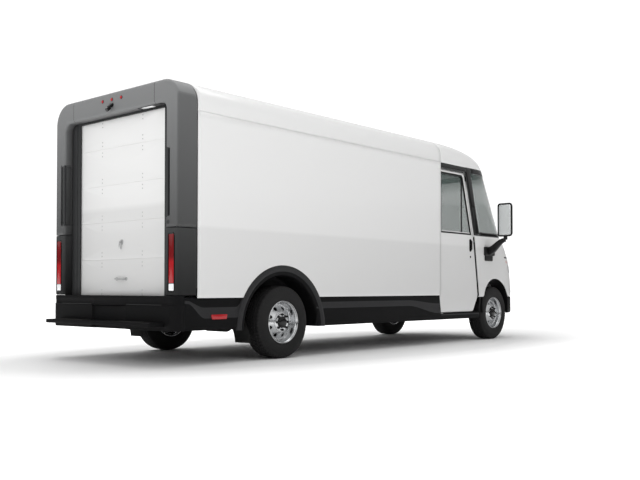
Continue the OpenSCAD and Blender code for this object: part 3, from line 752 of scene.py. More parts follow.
class TRUCK_OT_cab(TruckOperator, Operator):
    """Builds the cab's roof end, nose, windscreen and pillars from one outline"""
    bl_idname = "truck.cab"
    bl_label = "Cab shell"

    def make(self):
        wall = bpy.context.scene.truck_skin.skin
        # roof end: outlines from the crease to the top, then closed along the middle
        skin = Skin()
        z = D.crease + 0.010 + (D.top - 0.0004 - D.crease - 0.010) * np.sin(line(0, math.pi / 2, 26))
        z = np.concatenate([[D.crease - 0.004, D.crease + 0.001], z])
        inset = np.concatenate([[0.005, 0.006], np.zeros(26)])
        a = line(-1, 1, 121)
        reach = plan_at(D.y_open, z)[:, None] * a[None]
        x, y, h = plan_point(reach, z[:, None], inset[:, None])
        y = np.minimum(y, D.y_open)
        y[:, 0] = y[:, -1] = D.y_open
        grid = np.stack([x, y, np.broadcast_to(h, x.shape)], -1)
        close = grid[-1][None] * np.stack([line(0.8, 0, 5), np.ones(5), np.ones(5)], -1)[:, None]
        skin.add(np.concatenate([grid, close]), away=(0, -1.2, 2.2))
        skin.build("cab_roof_skin", "truck_body", ["body_white"], "body_white", ("cab_roof",), wall=wall)

        # nose: white from the bumper's top to the cowl, cut by the arch and the door
        skin = Skin()
        s = np.concatenate([[0, 0.006, 0.014], line(0.035, 0.985, 40), [1.0]])
        edge = plan_at(door_front(0.9) - 0.006, 0.9)
        a = np.concatenate([line(-edge, -0.55, 60), line(-0.55, 0.55, 70)[1:-1], line(0.55, edge, 60)])
        ref_x, ref_y, _ = plan_point(a, np.full_like(a, 0.9))
        low = arch_floor(ref_y, D.y_fa - 0.01, 0.52, 0.40, D.nose_top)
        low = np.where(np.abs(ref_x) > 0.75, low, D.nose_top)
        z = low[None] + s[:, None] * (D.cowl - low[None])
        door = plan_at(door_front(z) - 0.006, z)
        reach = np.abs(a)[None] / edge
        stretch = np.where(np.abs(a)[None] > 0.55,
                           0.55 + (np.abs(a)[None] - 0.55) / (edge - 0.55) * (door - 0.55),
                           np.abs(a)[None])
        tuck = np.interp(s, [0, 0.006, 0.014, 0.985, 1.0], [0.010, 0.002, 0, 0, 0.006])
        x, y, h = plan_point(stretch * np.sign(a)[None], z, tuck[:, None])
        skin.add(np.stack([x, y, h], -1), away=(0, -2.4, 1.1))
        skin.build("nose_skin", "truck_body", ["body_white"], "body_white", ("front_shell",), wall=wall)

        # windscreen with its black edge, between the pillars
        skin, band = Skin(), Skin()
        z = line(D.cowl, D.crease - 0.006, 30)
        back = door_front(np.minimum(z, D.door_top)) - PILLAR_W
        edge = plan_at(back, z)
        x, y, h = plan_point(edge[:, None] * line(-1, 1, 91)[None], z[:, None], 0.006)
        skin.add(np.stack([x, y, h], -1), away=(0, -2.2, 2.0))
        skin.build("windscreen_glass", "truck_body", ["cab_glass"], "screen_glass", ("windscreen",),
                   wall=0.006)
        rim = columns(-1, 1, 80)
        for low, high, lean in ((D.cowl - 0.004, D.cowl + 0.055, 0.0035),
                                (D.crease - 0.085, D.crease - 0.006, 0.0035)):
            h = line(low, high, 5)
            edge = plan_at(door_front(np.minimum(h, D.door_top)) - PILLAR_W, np.maximum(h, D.cowl + 0.001))
            x, y, _ = plan_point(edge[:, None] * rim[None], np.maximum(h, D.cowl + 0.001)[:, None], lean)
            band.add(np.stack([x, y, np.broadcast_to(h[:, None], x.shape)], -1), away=(0, -2.2, 2.0))
        # pillars from the cowl to the crease, and the dark band over the doors: a black sheet put where the door
        # opening's header is in shade, painted shade
        h = line(D.cowl + 0.002, D.crease - 0.006, 30)
        front = door_front(np.minimum(h, D.door_top)) - 0.154
        rear = door_front(np.minimum(h, D.door_top)) - 0.004
        across = line(0, 1, 9)
        y = front[:, None] + across[None] * (rear - front)[:, None]
        x = np.interp(across, [0, 0.15, 0.85, 1], [D.w - 0.012, D.w - 0.003, D.w - 0.003, D.w - 0.014])
        grid = np.stack([np.broadcast_to(x, y.shape), y, np.broadcast_to(h[:, None], y.shape)], -1)
        for side in both_sides(grid):
            band.add(side, away=(0, -2.2, 2.0))
        h = line(D.door_top + 0.004, D.crease - 0.006, 8)
        y = line(float(door_front(D.door_top)) - 0.02, D.y_open - 0.002, 24)
        x = D.w - 0.004 - 0.010 * np.abs(line(-1, 1, 8)) ** 6
        grid = np.stack([np.broadcast_to(x[:, None], (8, 24)), np.broadcast_to(y, (8, 24)),
                         np.broadcast_to(h[:, None], (8, 24))], -1)
        for side in both_sides(grid):
            band.add(side, away=(0, -2.2, 2.0))
        band.build("pillar_band", "truck_body", ["gloss_black"], "cladding_black", ("cab_frame",), wall=0.012)


class TRUCK_OT_portal(TruckOperator, Operator):
    """Builds the portal round the rear door, its lower covers, jambs and grab bars"""
    bl_idname = "truck.portal"
    bl_label = "Rear portal"

    def ring(self):
        """Outer and inner outline of the portal in X and Z, matched point by point: up one
        pillar, round the corner, across the header and down again."""
        trim, r = bpy.context.scene.truck_trim, bpy.context.scene.truck_skin.roof_radius
        hw, top, ri = trim.opening_half, trim.opening_top, trim.opening_radius
        q = line(0, math.pi / 2, 20)
        rise = columns(D.split + 0.003, top - ri, 34, [1.47, 1.478, 1.50, 2.14, 2.162, 2.17])
        grow = (rise - rise[0]) / (rise[-1] - rise[0])
        outer = np.concatenate([
            np.stack([np.full_like(rise, D.w), rise[0] + grow * (D.top - r - rise[0])], -1),
            np.stack([D.w - r + r * np.cos(q), D.top - r + r * np.sin(q)], -1)[1:],
            np.stack([line(D.w - r, 0, 16), np.full(16, D.top)], -1)[1:]])
        inner = np.concatenate([
            np.stack([np.full_like(rise, hw), rise], -1),
            np.stack([hw - ri + ri * np.cos(q), top - ri + ri * np.sin(q)], -1)[1:],
            np.stack([line(hw - ri, 0, 16), np.full(16, top)], -1)[1:]])
        # the pillar keeps its level lines: the blend's height follows the inner outline there
        outer[:len(rise) - 6, 1] = inner[:len(rise) - 6, 1]
        return outer, inner

    def make(self):
        trim = bpy.context.scene.truck_trim
        f, lip = trim.portal_fillet, 0.030
        depth = D.y_rear - D.y_door - 0.026
        q = line(0, math.pi / 2, 12)
        # profile across the ring: side, fillet, rear face, lip, reveal
        outer, inner = self.ring()
        skin = Skin()
        for sign in (1, -1):
            width = 0.18
            reach = np.concatenate([[0, 0, 0], f * (1 - np.cos(q)), line(f, width - lip, 7)[1:-1],
                                    width - lip + lip * np.sin(q), [width] * 8])
            y = np.concatenate([[D.y_portal + 0.004, D.y_portal + 0.009, D.y_rear - f - 0.03],
                                D.y_rear - f + f * np.sin(q), np.full(5, D.y_rear),
                                D.y_rear - lip * (1 - np.cos(q)),
                                line(D.y_rear - lip, D.y_rear - depth, 9)[1:]])
            t = reach / width
            grid = outer[:, None] + (inner - outer)[:, None] * t[None, :, None]
            x, z = grid[..., 0].copy(), grid[..., 1]
            deep = np.broadcast_to(y, x.shape).copy()
            x[:, 0] -= 0.006
            # grab pocket: the inner corner sinks between two heights
            band = eased((z - 1.47) / 0.03) * eased((2.17 - z) / 0.03) * (np.abs(outer[:, 0] - D.w) < 1e-6)[:,
                                                                                                            None]
            near = eased((reach - 0.115) / 0.012)[None] * eased((y - (D.y_rear - 0.088)) / 0.012)[None]
            x += band * near * 0.034
            deep -= band * near * 0.030
            skin.add(np.stack([x * sign, deep, z], -1), away=(0, D.y_portal - 0.4, 1.6), mark=0)
        skin.build("portal_ring", "truck_body", ["portal_grey"], "portal_grey", ("rear_portal",), weld=4e-4,
                   wall=0.006)

        # lower covers below the split, closed to the bumper
        skin = Skin()
        h = np.array([D.bumper_top + 0.002, D.bumper_top + 0.006] + list(line(0.72, D.split - 0.008, 24))
                     + [D.split - 0.003])
        tuck = np.array([0.006, 0.001] + [0] * 24 + [0.004])
        width = 0.18
        reach = np.concatenate([[0, 0, 0], f * (1 - np.cos(q)), line(f, width - lip, 7)[1:-1],
                                width - lip + lip * np.sin(q), [width] * 8])
        y = np.concatenate([[D.y_portal + 0.004, D.y_portal + 0.009, D.y_rear - f - 0.03],
                            D.y_rear - f + f * np.sin(q), np.full(5, D.y_rear),
                            D.y_rear - lip * (1 - np.cos(q)), line(D.y_rear - lip, D.y_rear - depth, 9)[1:]])
        x = D.w - reach[None] - tuck[:, None]
        x[:, 0] -= 0.006
        deep = np.broadcast_to(y, x.shape) - tuck[:, None]
        z = np.broadcast_to(h[:, None], x.shape)
        for grid in both_sides(np.stack([x, deep, z], -1)):
            skin.add(grid, away=(0, D.y_portal - 0.4, 1.0))
        skin.build("portal_covers", "truck_body", ["cover_grey"], "portal_grey", ("pillar_covers",),
                   wall=0.006)

        # jambs, the dark liner over the door and the side tracks' covers
        skin = Skin()
        x0, x1 = D.panel_x - 0.023, trim.opening_half + 0.012
        for sign in (1, -1):
            loop = box_loop(min(sign * x0, sign * x1), max(sign * x0, sign * x1), D.sill + 0.004,
                            trim.opening_top + 0.01, 0.004)
            skin.add(slab(loop, "y", D.y_door + 0.007, D.y_door + 0.026, 0.003), wrap_columns=True)
            rib = box_loop(min(sign * 0.80, sign * 0.86), max(sign * 0.80, sign * 0.86), D.sill + 0.01,
                           trim.opening_top - 0.02, 0.004)
            skin.add(slab(rib, "y", D.y_door + 0.02, D.y_door + 0.034, 0.005), wrap_columns=True)
        head = box_loop(-x1, x1, trim.opening_top - 0.022, trim.opening_top + 0.03, 0.004)
        skin.add(slab(head, "y", D.y_door + 0.008, D.y_door + 0.024, 0.003), wrap_columns=True)
        skin.build("door_jambs", "truck_body", ["jamb_grey"], "portal_grey", ("door_tracks",))

        # grab bars standing in the pockets
        skin = Skin()
        loop = rounded_loop([(-0.012, -0.013), (0.012, -0.013), (0.012, 0.013), (-0.012, 0.013)], 0.010, 5)
        s = line(0, 1, 40)
        z = 1.462 + (2.178 - 1.462) * s
        arch = 0.016 * (1 - eased(s / 0.05) * eased((1 - s) / 0.05))
        path = np.stack([np.full(40, trim.opening_half + 0.018) + arch, D.y_rear - 0.020 - arch, z], -1)
        for grid in both_sides(swept(path, loop, (0, 1, 0))):
            skin.add(grid, wrap_columns=True)
        skin.build("grab_bars", "truck_body", ["jamb_grey"], "portal_grey", ("grab_handles",))

        # round cap on the right pillar
        skin = Skin()
        skin.add(turned([(0, 0), (0, 0.019), (0.003, 0.021), (0.005, 0.019), (0.004, 0.014), (0.004, 0)],
                        (-0.945, D.y_rear - 0.002, 1.425), "y", 32), wrap_columns=True)
        skin.build("pillar_cap", "truck_body", ["cover_grey"], "portal_grey")


class TRUCK_OT_rear_door(TruckOperator, Operator):
    """Builds the roll-up door's panels with bolts, pull handle and latch"""
    bl_idname = "truck.rear_door"
    bl_label = "Roll-up door"

    def make(self):
        trim = bpy.context.scene.truck_trim
        for k in range(5):
            body = "roller_door" if k < 4 else "roller_door_top"
            low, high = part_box("rear_door_panel_%d" % (k + 1))
            skin = Skin()
            loop = box_loop(low.x, high.x, low.z - 0.0012, high.z + 0.0012, 0.001, 4)
            skin.add(slab(loop, "y", low.y, high.y, 0.0035, 5), wrap_columns=True)
            skin.build("door_panel_%d" % (k + 1), body, ["door_white"], "door_white",
                       ("rear_door_panel_%d" % (k + 1),))
            skin = Skin()
            for x in (-trim.bolt_x, trim.bolt_x):
                for end, way in ((low.z, 1), (high.z, -1)):
                    for step in (0.035, 0.075):
                        skin.add(turned([(0.0, 0.0075), (0.002, 0.007), (0.0035, 0.0045), (0.004, 0)],
                                        (x, high.y, end + way * step), "y", 12), wrap_columns=True)
            if k == 0:
                for x in (-0.72, -0.36, 0.0, 0.36, 0.72):
                    skin.add(turned([(0.0, 0.006), (0.002, 0.0055), (0.0035, 0.0035), (0.004, 0)],
                                    (x, high.y, low.z + 0.024), "y", 12), wrap_columns=True)
            skin.build("door_bolts_%d" % (k + 1), body, ["zinc_steel"], "zinc_steel")
        # rubber strip along the door's foot
        low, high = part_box("rear_door_panel_1")
        skin = Skin()
        skin.add(slab(box_loop(low.x + 0.02, high.x - 0.02, low.z - 0.0045, low.z + 0.012, 0.003), "y",
                      high.y - 0.006, high.y + 0.004, 0.002), wrap_columns=True)
        skin.build("door_foot_seal", "roller_door", ["flap_rubber"], "flap_rubber")
        # pull handle: a bent bar on two round feet
        skin = Skin()
        s = line(-1, 1, 41)
        out = 0.034 * (1 - np.clip((np.abs(s) - 0.72) / 0.28, 0, 1) ** 2)
        path = np.stack([0.085 * s, high.y + 0.002 + out, np.full(41, 0.872)], -1)
        loop = rounded_loop([(-0.009, -0.009), (0.009, -0.009), (0.009, 0.009), (-0.009, 0.009)], 0.008, 4)
        skin.add(swept(path, loop), wrap_columns=True)
        for x in (-0.085, 0.085):
            skin.add(turned([(0, 0.020), (0.004, 0.019), (0.006, 0.012), (0.006, 0)], (x, high.y, 0.872), "y",
                            20),
                     wrap_columns=True)
        skin.build("pull_handle", "roller_door", ["zinc_steel"], "zinc_steel")
        # latch: round plate, shaft and a tapered lever that hangs down
        low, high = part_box("door_latch")
        z0 = low.z + 0.075
        skin = Skin()
        face = D.y_door
        skin.add(turned([(0.0, 0.0085), (0.030, 0.0085), (0.031, 0)], (0, face, z0), "y", 20),
                 wrap_columns=True)
        s = line(0, 1, 24)
        path = np.stack([0.004 * np.sin(3 * s), face + 0.014 + 0.012 * np.sin(math.pi * s),
                         z0 + 0.012 - 0.085 * s], -1)
        wide = (0.013 - 0.005 * s)[:, None, None] / 0.01
        lever = rounded_loop([(-0.01, -0.005), (0.01, -0.005), (0.01, 0.005), (-0.01, 0.005)], 0.004, 4)
        skin.add(swept(path, lever[None] * np.concatenate([wide, np.ones_like(wide)], -1), (0, 1, 0)),
                 wrap_columns=True)
        skin.build("latch_lever", "door_latch", ["zinc_steel"], "zinc_steel", ("door_latch",))
        skin = Skin()
        skin.add(turned([(0, 0.030), (0.003, 0.029), (0.005, 0.022), (0.005, 0)], (0, face, z0), "y", 32),
                 wrap_columns=True)
        skin.build("latch_plate", "roller_door", ["zinc_steel"], "zinc_steel")


class TRUCK_OT_cladding(TruckOperator, Operator):
    """Builds the skirts, wheel-arch flares, bumpers, step and mud flaps"""
    bl_idname = "truck.cladding"
    bl_label = "Lower cladding"

    def side_strip(self, skin, y, low, high, ridge, recess=0.018):
        """A side panel from low to high: a step in above the ridge line, the ridge itself at
        full width, and a curve inwards below it. All are functions of the place y."""
        s = np.array([0, 0.02, 0.05, 0.15, 0.3, 0.45, 0.55, 0.62, 0.67, 0.70, 0.74, 0.80, 0.86, 0.89, 0.93,
                      0.97, 1.0])
        ridge = np.clip(ridge, low + 0.02, high - 0.012)
        z = np.where(s[None] < 0.70, low[:, None] + s[None] / 0.70 * (ridge - low)[:, None],
                     ridge[:, None] + (s[None] - 0.70) / 0.30 * (high - ridge)[:, None])
        under = 0.026 * np.clip((ridge[:, None] - z) / 0.20, 0, 1.3) ** 2
        over = recess * eased((z - ridge[:, None]) / 0.060)
        tuck = np.interp(s, [0, 0.02, 0.05], [0.012, 0.004, 0.0])
        x = D.w - 0.001 - np.where(s[None] < 0.70, under, over) - tuck[None]
        grid = np.stack([x, np.broadcast_to(y[:, None], z.shape), z], -1)
        for side in both_sides(grid):
            skin.add(side[:, :10], away=(0, 0, 0.5))
            # the ridge band takes the second finish, a lighter black: painted sheen
            skin.add(side[:, 9:13], away=(0, 0, 0.5), mark=1)
            skin.add(side[:, 12:], away=(0, 0, 0.5))

    def make(self):
        z_in = D.sill + 0.006
        # skirts from the front arch to the rear flare
        skin = Skin()
        gap = D.skirt_low + 0.001
        y = columns(D.skirt_front, D.y_ra - 0.56, 150)
        high = np.where(y < D.y_open, np.where(y > D.y_open - 0.30, z_in, 0.645), z_in)
        high = np.where((y > D.door_lead) & (y < D.y_open), D.door_low - 0.008, high)
        dip = 0.11 * (1 - eased((y - (D.y_open + 0.05)) / 0.75))
        ridge = np.where(y < D.y_open, high - 0.03, D.skirt_low + 0.205 - dip)
        low = np.full_like(y, gap)
        self.side_strip(skin, y, low, high, ridge)
        skin.build("side_skirt_skin", "truck_body", ["cladding_black", "cladding_upper"], "cladding_black",
                   ("side_skirts",), wall=0.004)

        # flares: a rounded lip carried round the wheel, then the liner inside
        skin = Skin()
        lip = np.array([(0.706, D.w - 0.020), (0.703, D.w - 0.004), (0.697, D.w + 0.004),
                        (0.672, D.w + 0.009),
                        (0.650, D.w + 0.008), (0.634, D.w - 0.001), (0.622, D.w - 0.007),
                        (0.606, D.w - 0.006),
                        (0.594, D.w - 0.012), (0.587, D.w - 0.024), (0.588, D.w - 0.060), (0.590, D.w - 0.12),
                        (0.590, 0.90), (0.590, 0.815), (0.560, 0.806), (0.45, 0.803), (0.30, 0.803),
                        (0.20, 0.803)])
        lip = np.stack([np.interp(line(0, 1, 60), np.r_[0, np.cumsum(np.hypot(*np.diff(lip, axis=0).T))]
                                  / np.hypot(*np.diff(lip, axis=0).T).sum(), lip[:, k]) for k in (0, 1)], -1)
        angle = line(0, math.pi, 90)
        radius = lip[:, 0][:, None]
        z = ARCH_Z + radius * np.sin(angle)[None]
        y = D.y_ra - radius * np.cos(angle)[None]
        grid = np.stack([np.broadcast_to(lip[:, 1][:, None], z.shape), y, np.maximum(z, D.skirt_low)], -1)
        cut = int(np.argmax(lip[:, 0] < 0.645))
        for side, sign in zip(both_sides(grid), (1, -1)):
            # the outer lip takes the second finish, a lighter black: painted sheen
            skin.add(side[:cut + 1], away=(sign * 0.95, D.y_ra, 1.3), mark=1)
            skin.add(side[cut:], away=(sign * 0.95, D.y_ra, 1.3))
        skin.build("arch_flare_skin", "truck_body", ["cladding_black", "cladding_upper"], "cladding_black",
                   ("arch_flares",))

        # rear bumper: corners, side returns, ledges and the recess in the middle
        skin = Skin()
        back = D.bumper_y
        y = columns(D.y_ra + 0.612, D.y_rear - 0.10, 60)
        u = np.clip((y - (D.y_ra + 0.62)) / (D.y_rear - 0.10 - D.y_ra - 0.62), 0, 1)
        ridge = 0.470 + 0.15 * eased((u - 0.66) / 0.30) + 0.10 * eased((0.10 - u) / 0.10)
        self.side_strip(skin, y, np.full_like(y, D.bumper_low + 0.001), np.full_like(y, D.sill), ridge)
        # back corner and face, in one sheet: around the corner, then across to the recess
        r = 0.085
        q = line(0, math.pi / 2, 14)
        track = np.concatenate([[(D.w - 0.001, D.y_rear - 0.102)],
                                np.stack([D.w - 0.001 - r * (1 - np.cos(q)), back - r + r * np.sin(q)], -1),
                                np.stack([line(D.w - r, 0.315, 24), np.full(24, back)], -1)[1:],
                                [(0.300, back), (0.285, back - 0.022), (0.270, back - 0.026),
                                 (0.1, back - 0.026),
                                 (0.0, back - 0.026)]])
        h = np.array([0.352, 0.356, 0.372, 0.44, 0.52, 0.575, 0.588, 0.598, 0.603, 0.606, 0.612, 0.64, 0.66,
                      0.680,
                      0.692, 0.698, 0.699])
        lean = np.array([0.020, 0.008, 0.0, 0.0, 0.0, 0.0, 0.0, 0.0, -0.004, -0.002, 0.016, 0.018, 0.012,
                         0.010,
                         0.014, 0.022, 0.060])
        normal = np.gradient(track, axis=0)
        normal = np.stack([normal[:, 1], -normal[:, 0]], -1)
        normal /= np.linalg.norm(normal, axis=1, keepdims=True)
        fade = np.clip((D.w + 0.02 - track[:, 0]) / 0.14, 0, 1)
        flat = (track[:, 0] < 0.292)
        shift = lean[:, None] * fade[None] * np.where(flat[None] & (h[:, None] > 0.59), 0.4, 1.0)
        x = track[None, :, 0] - shift * normal[None, :, 0] * np.sign(normal[None, :, 0] + 1e-9)
        yy = track[None, :, 1] - np.abs(shift) * np.sign(shift + 1e-12) * np.abs(normal[None, :, 1])
        recess = flat[None] & (h[:, None] > 0.59)
        yy = np.where(recess, back - 0.004 - lean[:, None] * 0.5, yy)
        grid = np.stack([x, yy, np.broadcast_to(h[:, None], x.shape)], -1)
        for side in both_sides(grid):
            skin.add(side, away=(0, 2.9, 0.5))
        # ledge over the bumper up to the door's foot
        x = columns(-0.905, 0.905, 20)
        y = np.array([back - 0.058, back - 0.075, D.y_door + 0.010, D.y_door + 0.002, D.y_door - 0.03])
        z = np.array([0.699, 0.690, 0.680, 0.6765, 0.6765])
        skin.add(np.stack([np.broadcast_to(x[:, None], (len(x), 5)), np.broadcast_to(y, (len(x), 5)),
                           np.broadcast_to(z, (len(x), 5))], -1), away=(0, 3.3, 0.2))
        skin.build("rear_bumper_skin", "truck_body", ["cladding_black", "cladding_upper"], "cladding_black",
                   ("rear_bumper",), wall=0.010)

        # light ledge trims on the bumper
        skin = Skin()
        for x0, x1 in ((0.31, 0.88), (-0.88, -0.31)):
            skin.add(slab(box_loop(x0, x1, 0.6035, 0.6105, 0.003), "y", back - 0.012, back + 0.002, 0.002),
                     wrap_columns=True)
        skin.build("bumper_ledge_trims", "truck_body", ["jamb_grey"], "cladding_black")

        # step: a plate with rounded edges, ribs and two grip pads
        skin, pads = Skin(), Skin()
        low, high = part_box("step_board")
        loop = rounded_loop([(low.x, low.y), (high.x, low.y), (high.x, high.y), (low.x, high.y)],
                            [0.004, 0.004, 0.03, 0.03], 8)
        skin.add(slab(loop, "z", low.z, high.z - 0.004, 0.006), wrap_columns=True)
        for middle in (-0.52, 0.52):
            loop = box_loop(middle - 0.27, middle + 0.27, low.y + 0.03, high.y - 0.02, 0.012)
            pads.add(slab(loop, "z", high.z - 0.006, high.z - 0.001, 0.002), wrap_columns=True)
            for k in range(9):
                y = low.y + 0.045 + 0.015 * k
                pads.add(slab(box_loop(middle - 0.25, middle + 0.25, y, y + 0.006, 0.002, 3), "z",
                              high.z - 0.002, high.z + 0.001, 0.001, 2), wrap_columns=True)
        skin.build("step_plate", "truck_body", ["cladding_black"], "cladding_black", ("step_board",))
        pads.build("step_grip_pads", "truck_body", ["flap_rubber"], "cladding_black")

        # mud flaps: thin rubber sheets that bow forward towards the wheels as they hang
        skin = Skin()
        low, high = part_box("mud_flaps")
        s = line(0, 1, 24)
        path = np.stack([np.full(24, D.w - 0.15), high.y - 0.004 - 0.135 * eased(s) ** 0.8,
                         high.z - (high.z - low.z) * s], -1)
        sheet = rounded_loop([(-0.118, -0.003), (0.118, -0.003), (0.118, 0.003), (-0.118, 0.003)], 0.002, 4)
        for grid in both_sides(swept(path, sheet, (0, 1, 0))):
            skin.add(grid, wrap_columns=True)
        skin.build("mud_flap_sheets", "truck_body", ["flap_rubber"], "flap_rubber", ("mud_flaps",))

        # front bumper: the outline at bumper height, rolled in at both edges
        skin = Skin()
        h = np.array([D.nose_low + 0.001, D.nose_low + 0.006, D.nose_low + 0.02, 0.44, 0.50, 0.56, 0.61,
                      0.630,
                      D.nose_top - 0.003, D.nose_top - 0.001])
        tuck = np.array([0.020, 0.008, 0.001, 0.0, 0.0, 0.0, 0.0, 0.001, 0.005, 0.012])
        edge = float(plan_at(D.y_fa - 0.442, np.array(D.nose_top)))
        x, y, z = plan_point(line(-edge, edge, 121)[None], np.full((len(h), 1), D.nose_top), tuck[:, None])
        skin.add(np.stack([x, y, np.broadcast_to(h[:, None], x.shape)], -1), away=(0, -2.6, 0.5))
        skin.build("front_bumper_skin", "truck_body", ["cladding_black"], "cladding_black", ("front_bumper",),
                   wall=0.012)
        # arch lining over the front wheels
        skin = Skin()
        angle = line(-0.28, math.pi + 0.28, 60)
        profile = np.array([(0.402, D.w - 0.028), (0.399, D.w - 0.010), (0.394, D.w - 0.004),
                            (0.384, D.w - 0.006),
                            (0.380, D.w - 0.020), (0.382, D.w - 0.10), (0.384, D.w - 0.22)])
        z = 0.52 + profile[:, 0][:, None] * np.sin(angle)[None]
        y = D.y_fa - 0.01 - profile[:, 0][:, None] * np.cos(angle)[None]
        grid = np.stack([np.broadcast_to(profile[:, 1][:, None], z.shape), y, z], -1)
        for side, sign in zip(both_sides(grid), (1, -1)):
            skin.add(side, away=(sign * 0.95, D.y_fa, 1.5))
        skin.build("front_arch_lips", "truck_body", ["cladding_black"], "cladding_black")


class TRUCK_OT_lamps(TruckOperator, Operator):
    """Builds the tail lamps, marker lamps, reflectors, headlamps and camera"""
    bl_idname = "truck.lamps"
    bl_label = "Lamps and camera"

    def make(self):
        back = D.y_rear
        red, clear, bezel = Skin(), Skin(), Skin()
        for sign in (1, -1):
            x0, x1 = sorted((sign * 0.958, sign * 1.034))
            red.add(slab(box_loop(x0, x1, 0.822, 1.305, 0.010), "y", back - 0.016, back + 0.005, 0.006),
                    wrap_columns=True)
            clear.add(slab(box_loop(x0, x1, 0.748, 0.818, 0.010), "y", back - 0.016, back + 0.005, 0.006),
                      wrap_columns=True)
            # bezel: a rounded frame round the two lenses
            loops = [resampled(box_loop(x0 - g, x1 + g, 0.748 - g, 1.305 + g, 0.012 + g), 96) for g in
                     (0.001, 0.003, 0.010, 0.014, 0.015)]
            out = [-0.006, 0.003, 0.004, 0.001, -0.006]
            grid = np.stack([np.stack([lp[:, 0], np.full(96, back + o), lp[:, 1]], -1) for lp,
                             o in zip(loops, out)])
            bezel.add(grid, wrap_columns=True, away=(sign * 0.998, back - 0.3, 1.03))
        red.build("tail_lenses", "truck_body", ["red_lens"], "red_lens", ("tail_lamps",))
        clear.build("reversing_lenses", "truck_body", ["clear_lens"], "lamp_lens")
        bezel.build("tail_bezels", "truck_body", ["gloss_black"], "cladding_black", wall=0.003)

        red, base, light = Skin(), Skin(), Skin()
        for x in (-0.165, 0.0, 0.165):
            base.add(turned([(0, 0.019), (0.002, 0.020), (0.004, 0.018), (0.004, 0)],
                            (x, back - 0.001, 2.768), "y", 28),
                     wrap_columns=True)
            q = line(0, math.pi / 2, 8)
            red.add(turned([(0, 0), (0, 0.016)] + [(0.003 + 0.010 * math.sin(a),
                                                    0.016 * math.cos(a)) for a in q],
                           (x, back, 2.768), "y", 28), wrap_columns=True)
        top = bpy.context.scene.truck_trim.opening_top
        loop = rounded_loop([(-0.64, D.y_door + 0.050), (-0.46, D.y_door + 0.050), (-0.46, D.y_door + 0.098),
                             (-0.64, D.y_door + 0.098)], 0.012)
        light.add(slab(loop, "z", top - 0.008, top + 0.004, 0.003), wrap_columns=True)
        frame_loop = rounded_loop([(-0.80, D.y_door + 0.036), (-0.40, D.y_door + 0.036),
                                   (-0.40, D.y_door + 0.106),
                                   (-0.80, D.y_door + 0.106)], 0.016)
        base.add(slab(frame_loop, "z", top - 0.004, top + 0.006, 0.002), wrap_columns=True)
        red.build("header_lamp_domes", "truck_body", ["red_lens"], "red_lens", ("header_lamps",))
        base.build("header_lamp_bases", "truck_body", ["trim_black"], "trim_black")
        light.build("doorway_lamp", "truck_body", ["clear_lens"], "lamp_lens")

        # camera: a wedge bracket and a short barrel
        skin = Skin()
        s = line(0, 1, 14)
        path = np.stack([np.zeros(14), back - 0.002 + 0.050 * s, 2.712 - 0.034 * s], -1)
        loop = rounded_loop([(-0.03, -0.02), (0.03, -0.02), (0.03, 0.02), (-0.03, 0.02)], 0.012, 5)
        taper = (1 - 0.45 * s)[:, None, None]
        skin.add(swept(path, loop[None] * taper, (0, 0, 1)), wrap_columns=True)
        path = np.stack([0.0 * s, back + 0.030 + 0.036 * s, 2.676 - 0.030 * s], -1)
        skin.add(swept(path, rounded_loop([(-0.02, -0.02), (0.02, -0.02), (0.02, 0.02), (-0.02, 0.02)], 0.019,
                                          7)),
                 wrap_columns=True)
        skin.build("rear_camera_body", "truck_body", ["gloss_black"], "trim_black", ("rear_camera",))

        skin = Skin()
        for sign in (1, -1):
            y0, y1 = D.y_rear - 0.660, D.y_rear - 0.440
            loop = rounded_loop([(y0 + 0.010, 0.458), (y1 - 0.014, 0.458), (y1, 0.507), (y0, 0.507)], 0.010)
            x0, x1 = sorted((sign * (D.w - 0.004), sign * (D.w + 0.005)))
            skin.add(slab(loop, "x", x0, x1, 0.003), wrap_columns=True)
        # the reflectors take the glowing red lens finish: a painted glow, as they are no lamp
        skin.build("side_reflector_lenses", "truck_body", ["red_lens"], "red_lens", ("side_reflectors",))

        # headlamps: strips that follow the nose, and a dark band between them
        lens, dark = Skin(), Skin()
        for sign in (1, -1):
            for z0, z1, skin, out, a0, a1 in ((1.015, 1.135, dark, 0.002, 0.24, 0.47),
                                              (1.035, 1.115, lens, 0.004, 0.26, 0.46)):
                h, a = line(z0, z1, 10), sign * line(a0, a1, 40)
                x, y, z = plan_point(a[None], h[:, None], -out)
                rim = np.minimum(1, 6 * np.minimum(line(0, 1, 10), line(1, 0, 10)))[:, None]
                y = y + 0.003 * (1 - rim)
                skin.add(np.stack([x, y, z], -1), away=(0, -2.4, 1.1))
        h, a = line(1.03, 1.12, 8), line(-0.24, 0.24, 50)
        x, y, z = plan_point(a[None], h[:, None], -0.002)
        dark.add(np.stack([x, y, z], -1), away=(0, -2.4, 1.1))
        # lower grille: horizontal slats across the nose
        for level in (0.70, 0.74, 0.78, 0.82):
            h, a = line(level, level + 0.024, 4), line(-0.30, 0.30, 50)
            x, y, z = plan_point(a[None], h[:, None], -0.003)
            dark.add(np.stack([x, y, z], -1), away=(0, -2.4, 1.1))
        lens.build("headlamp_lenses", "truck_body", ["clear_lens"], "lamp_lens", ("headlamps",), wall=0.004)
        dark.build("nose_dark_bands", "truck_body", ["gloss_black"], "cladding_black", wall=0.004)

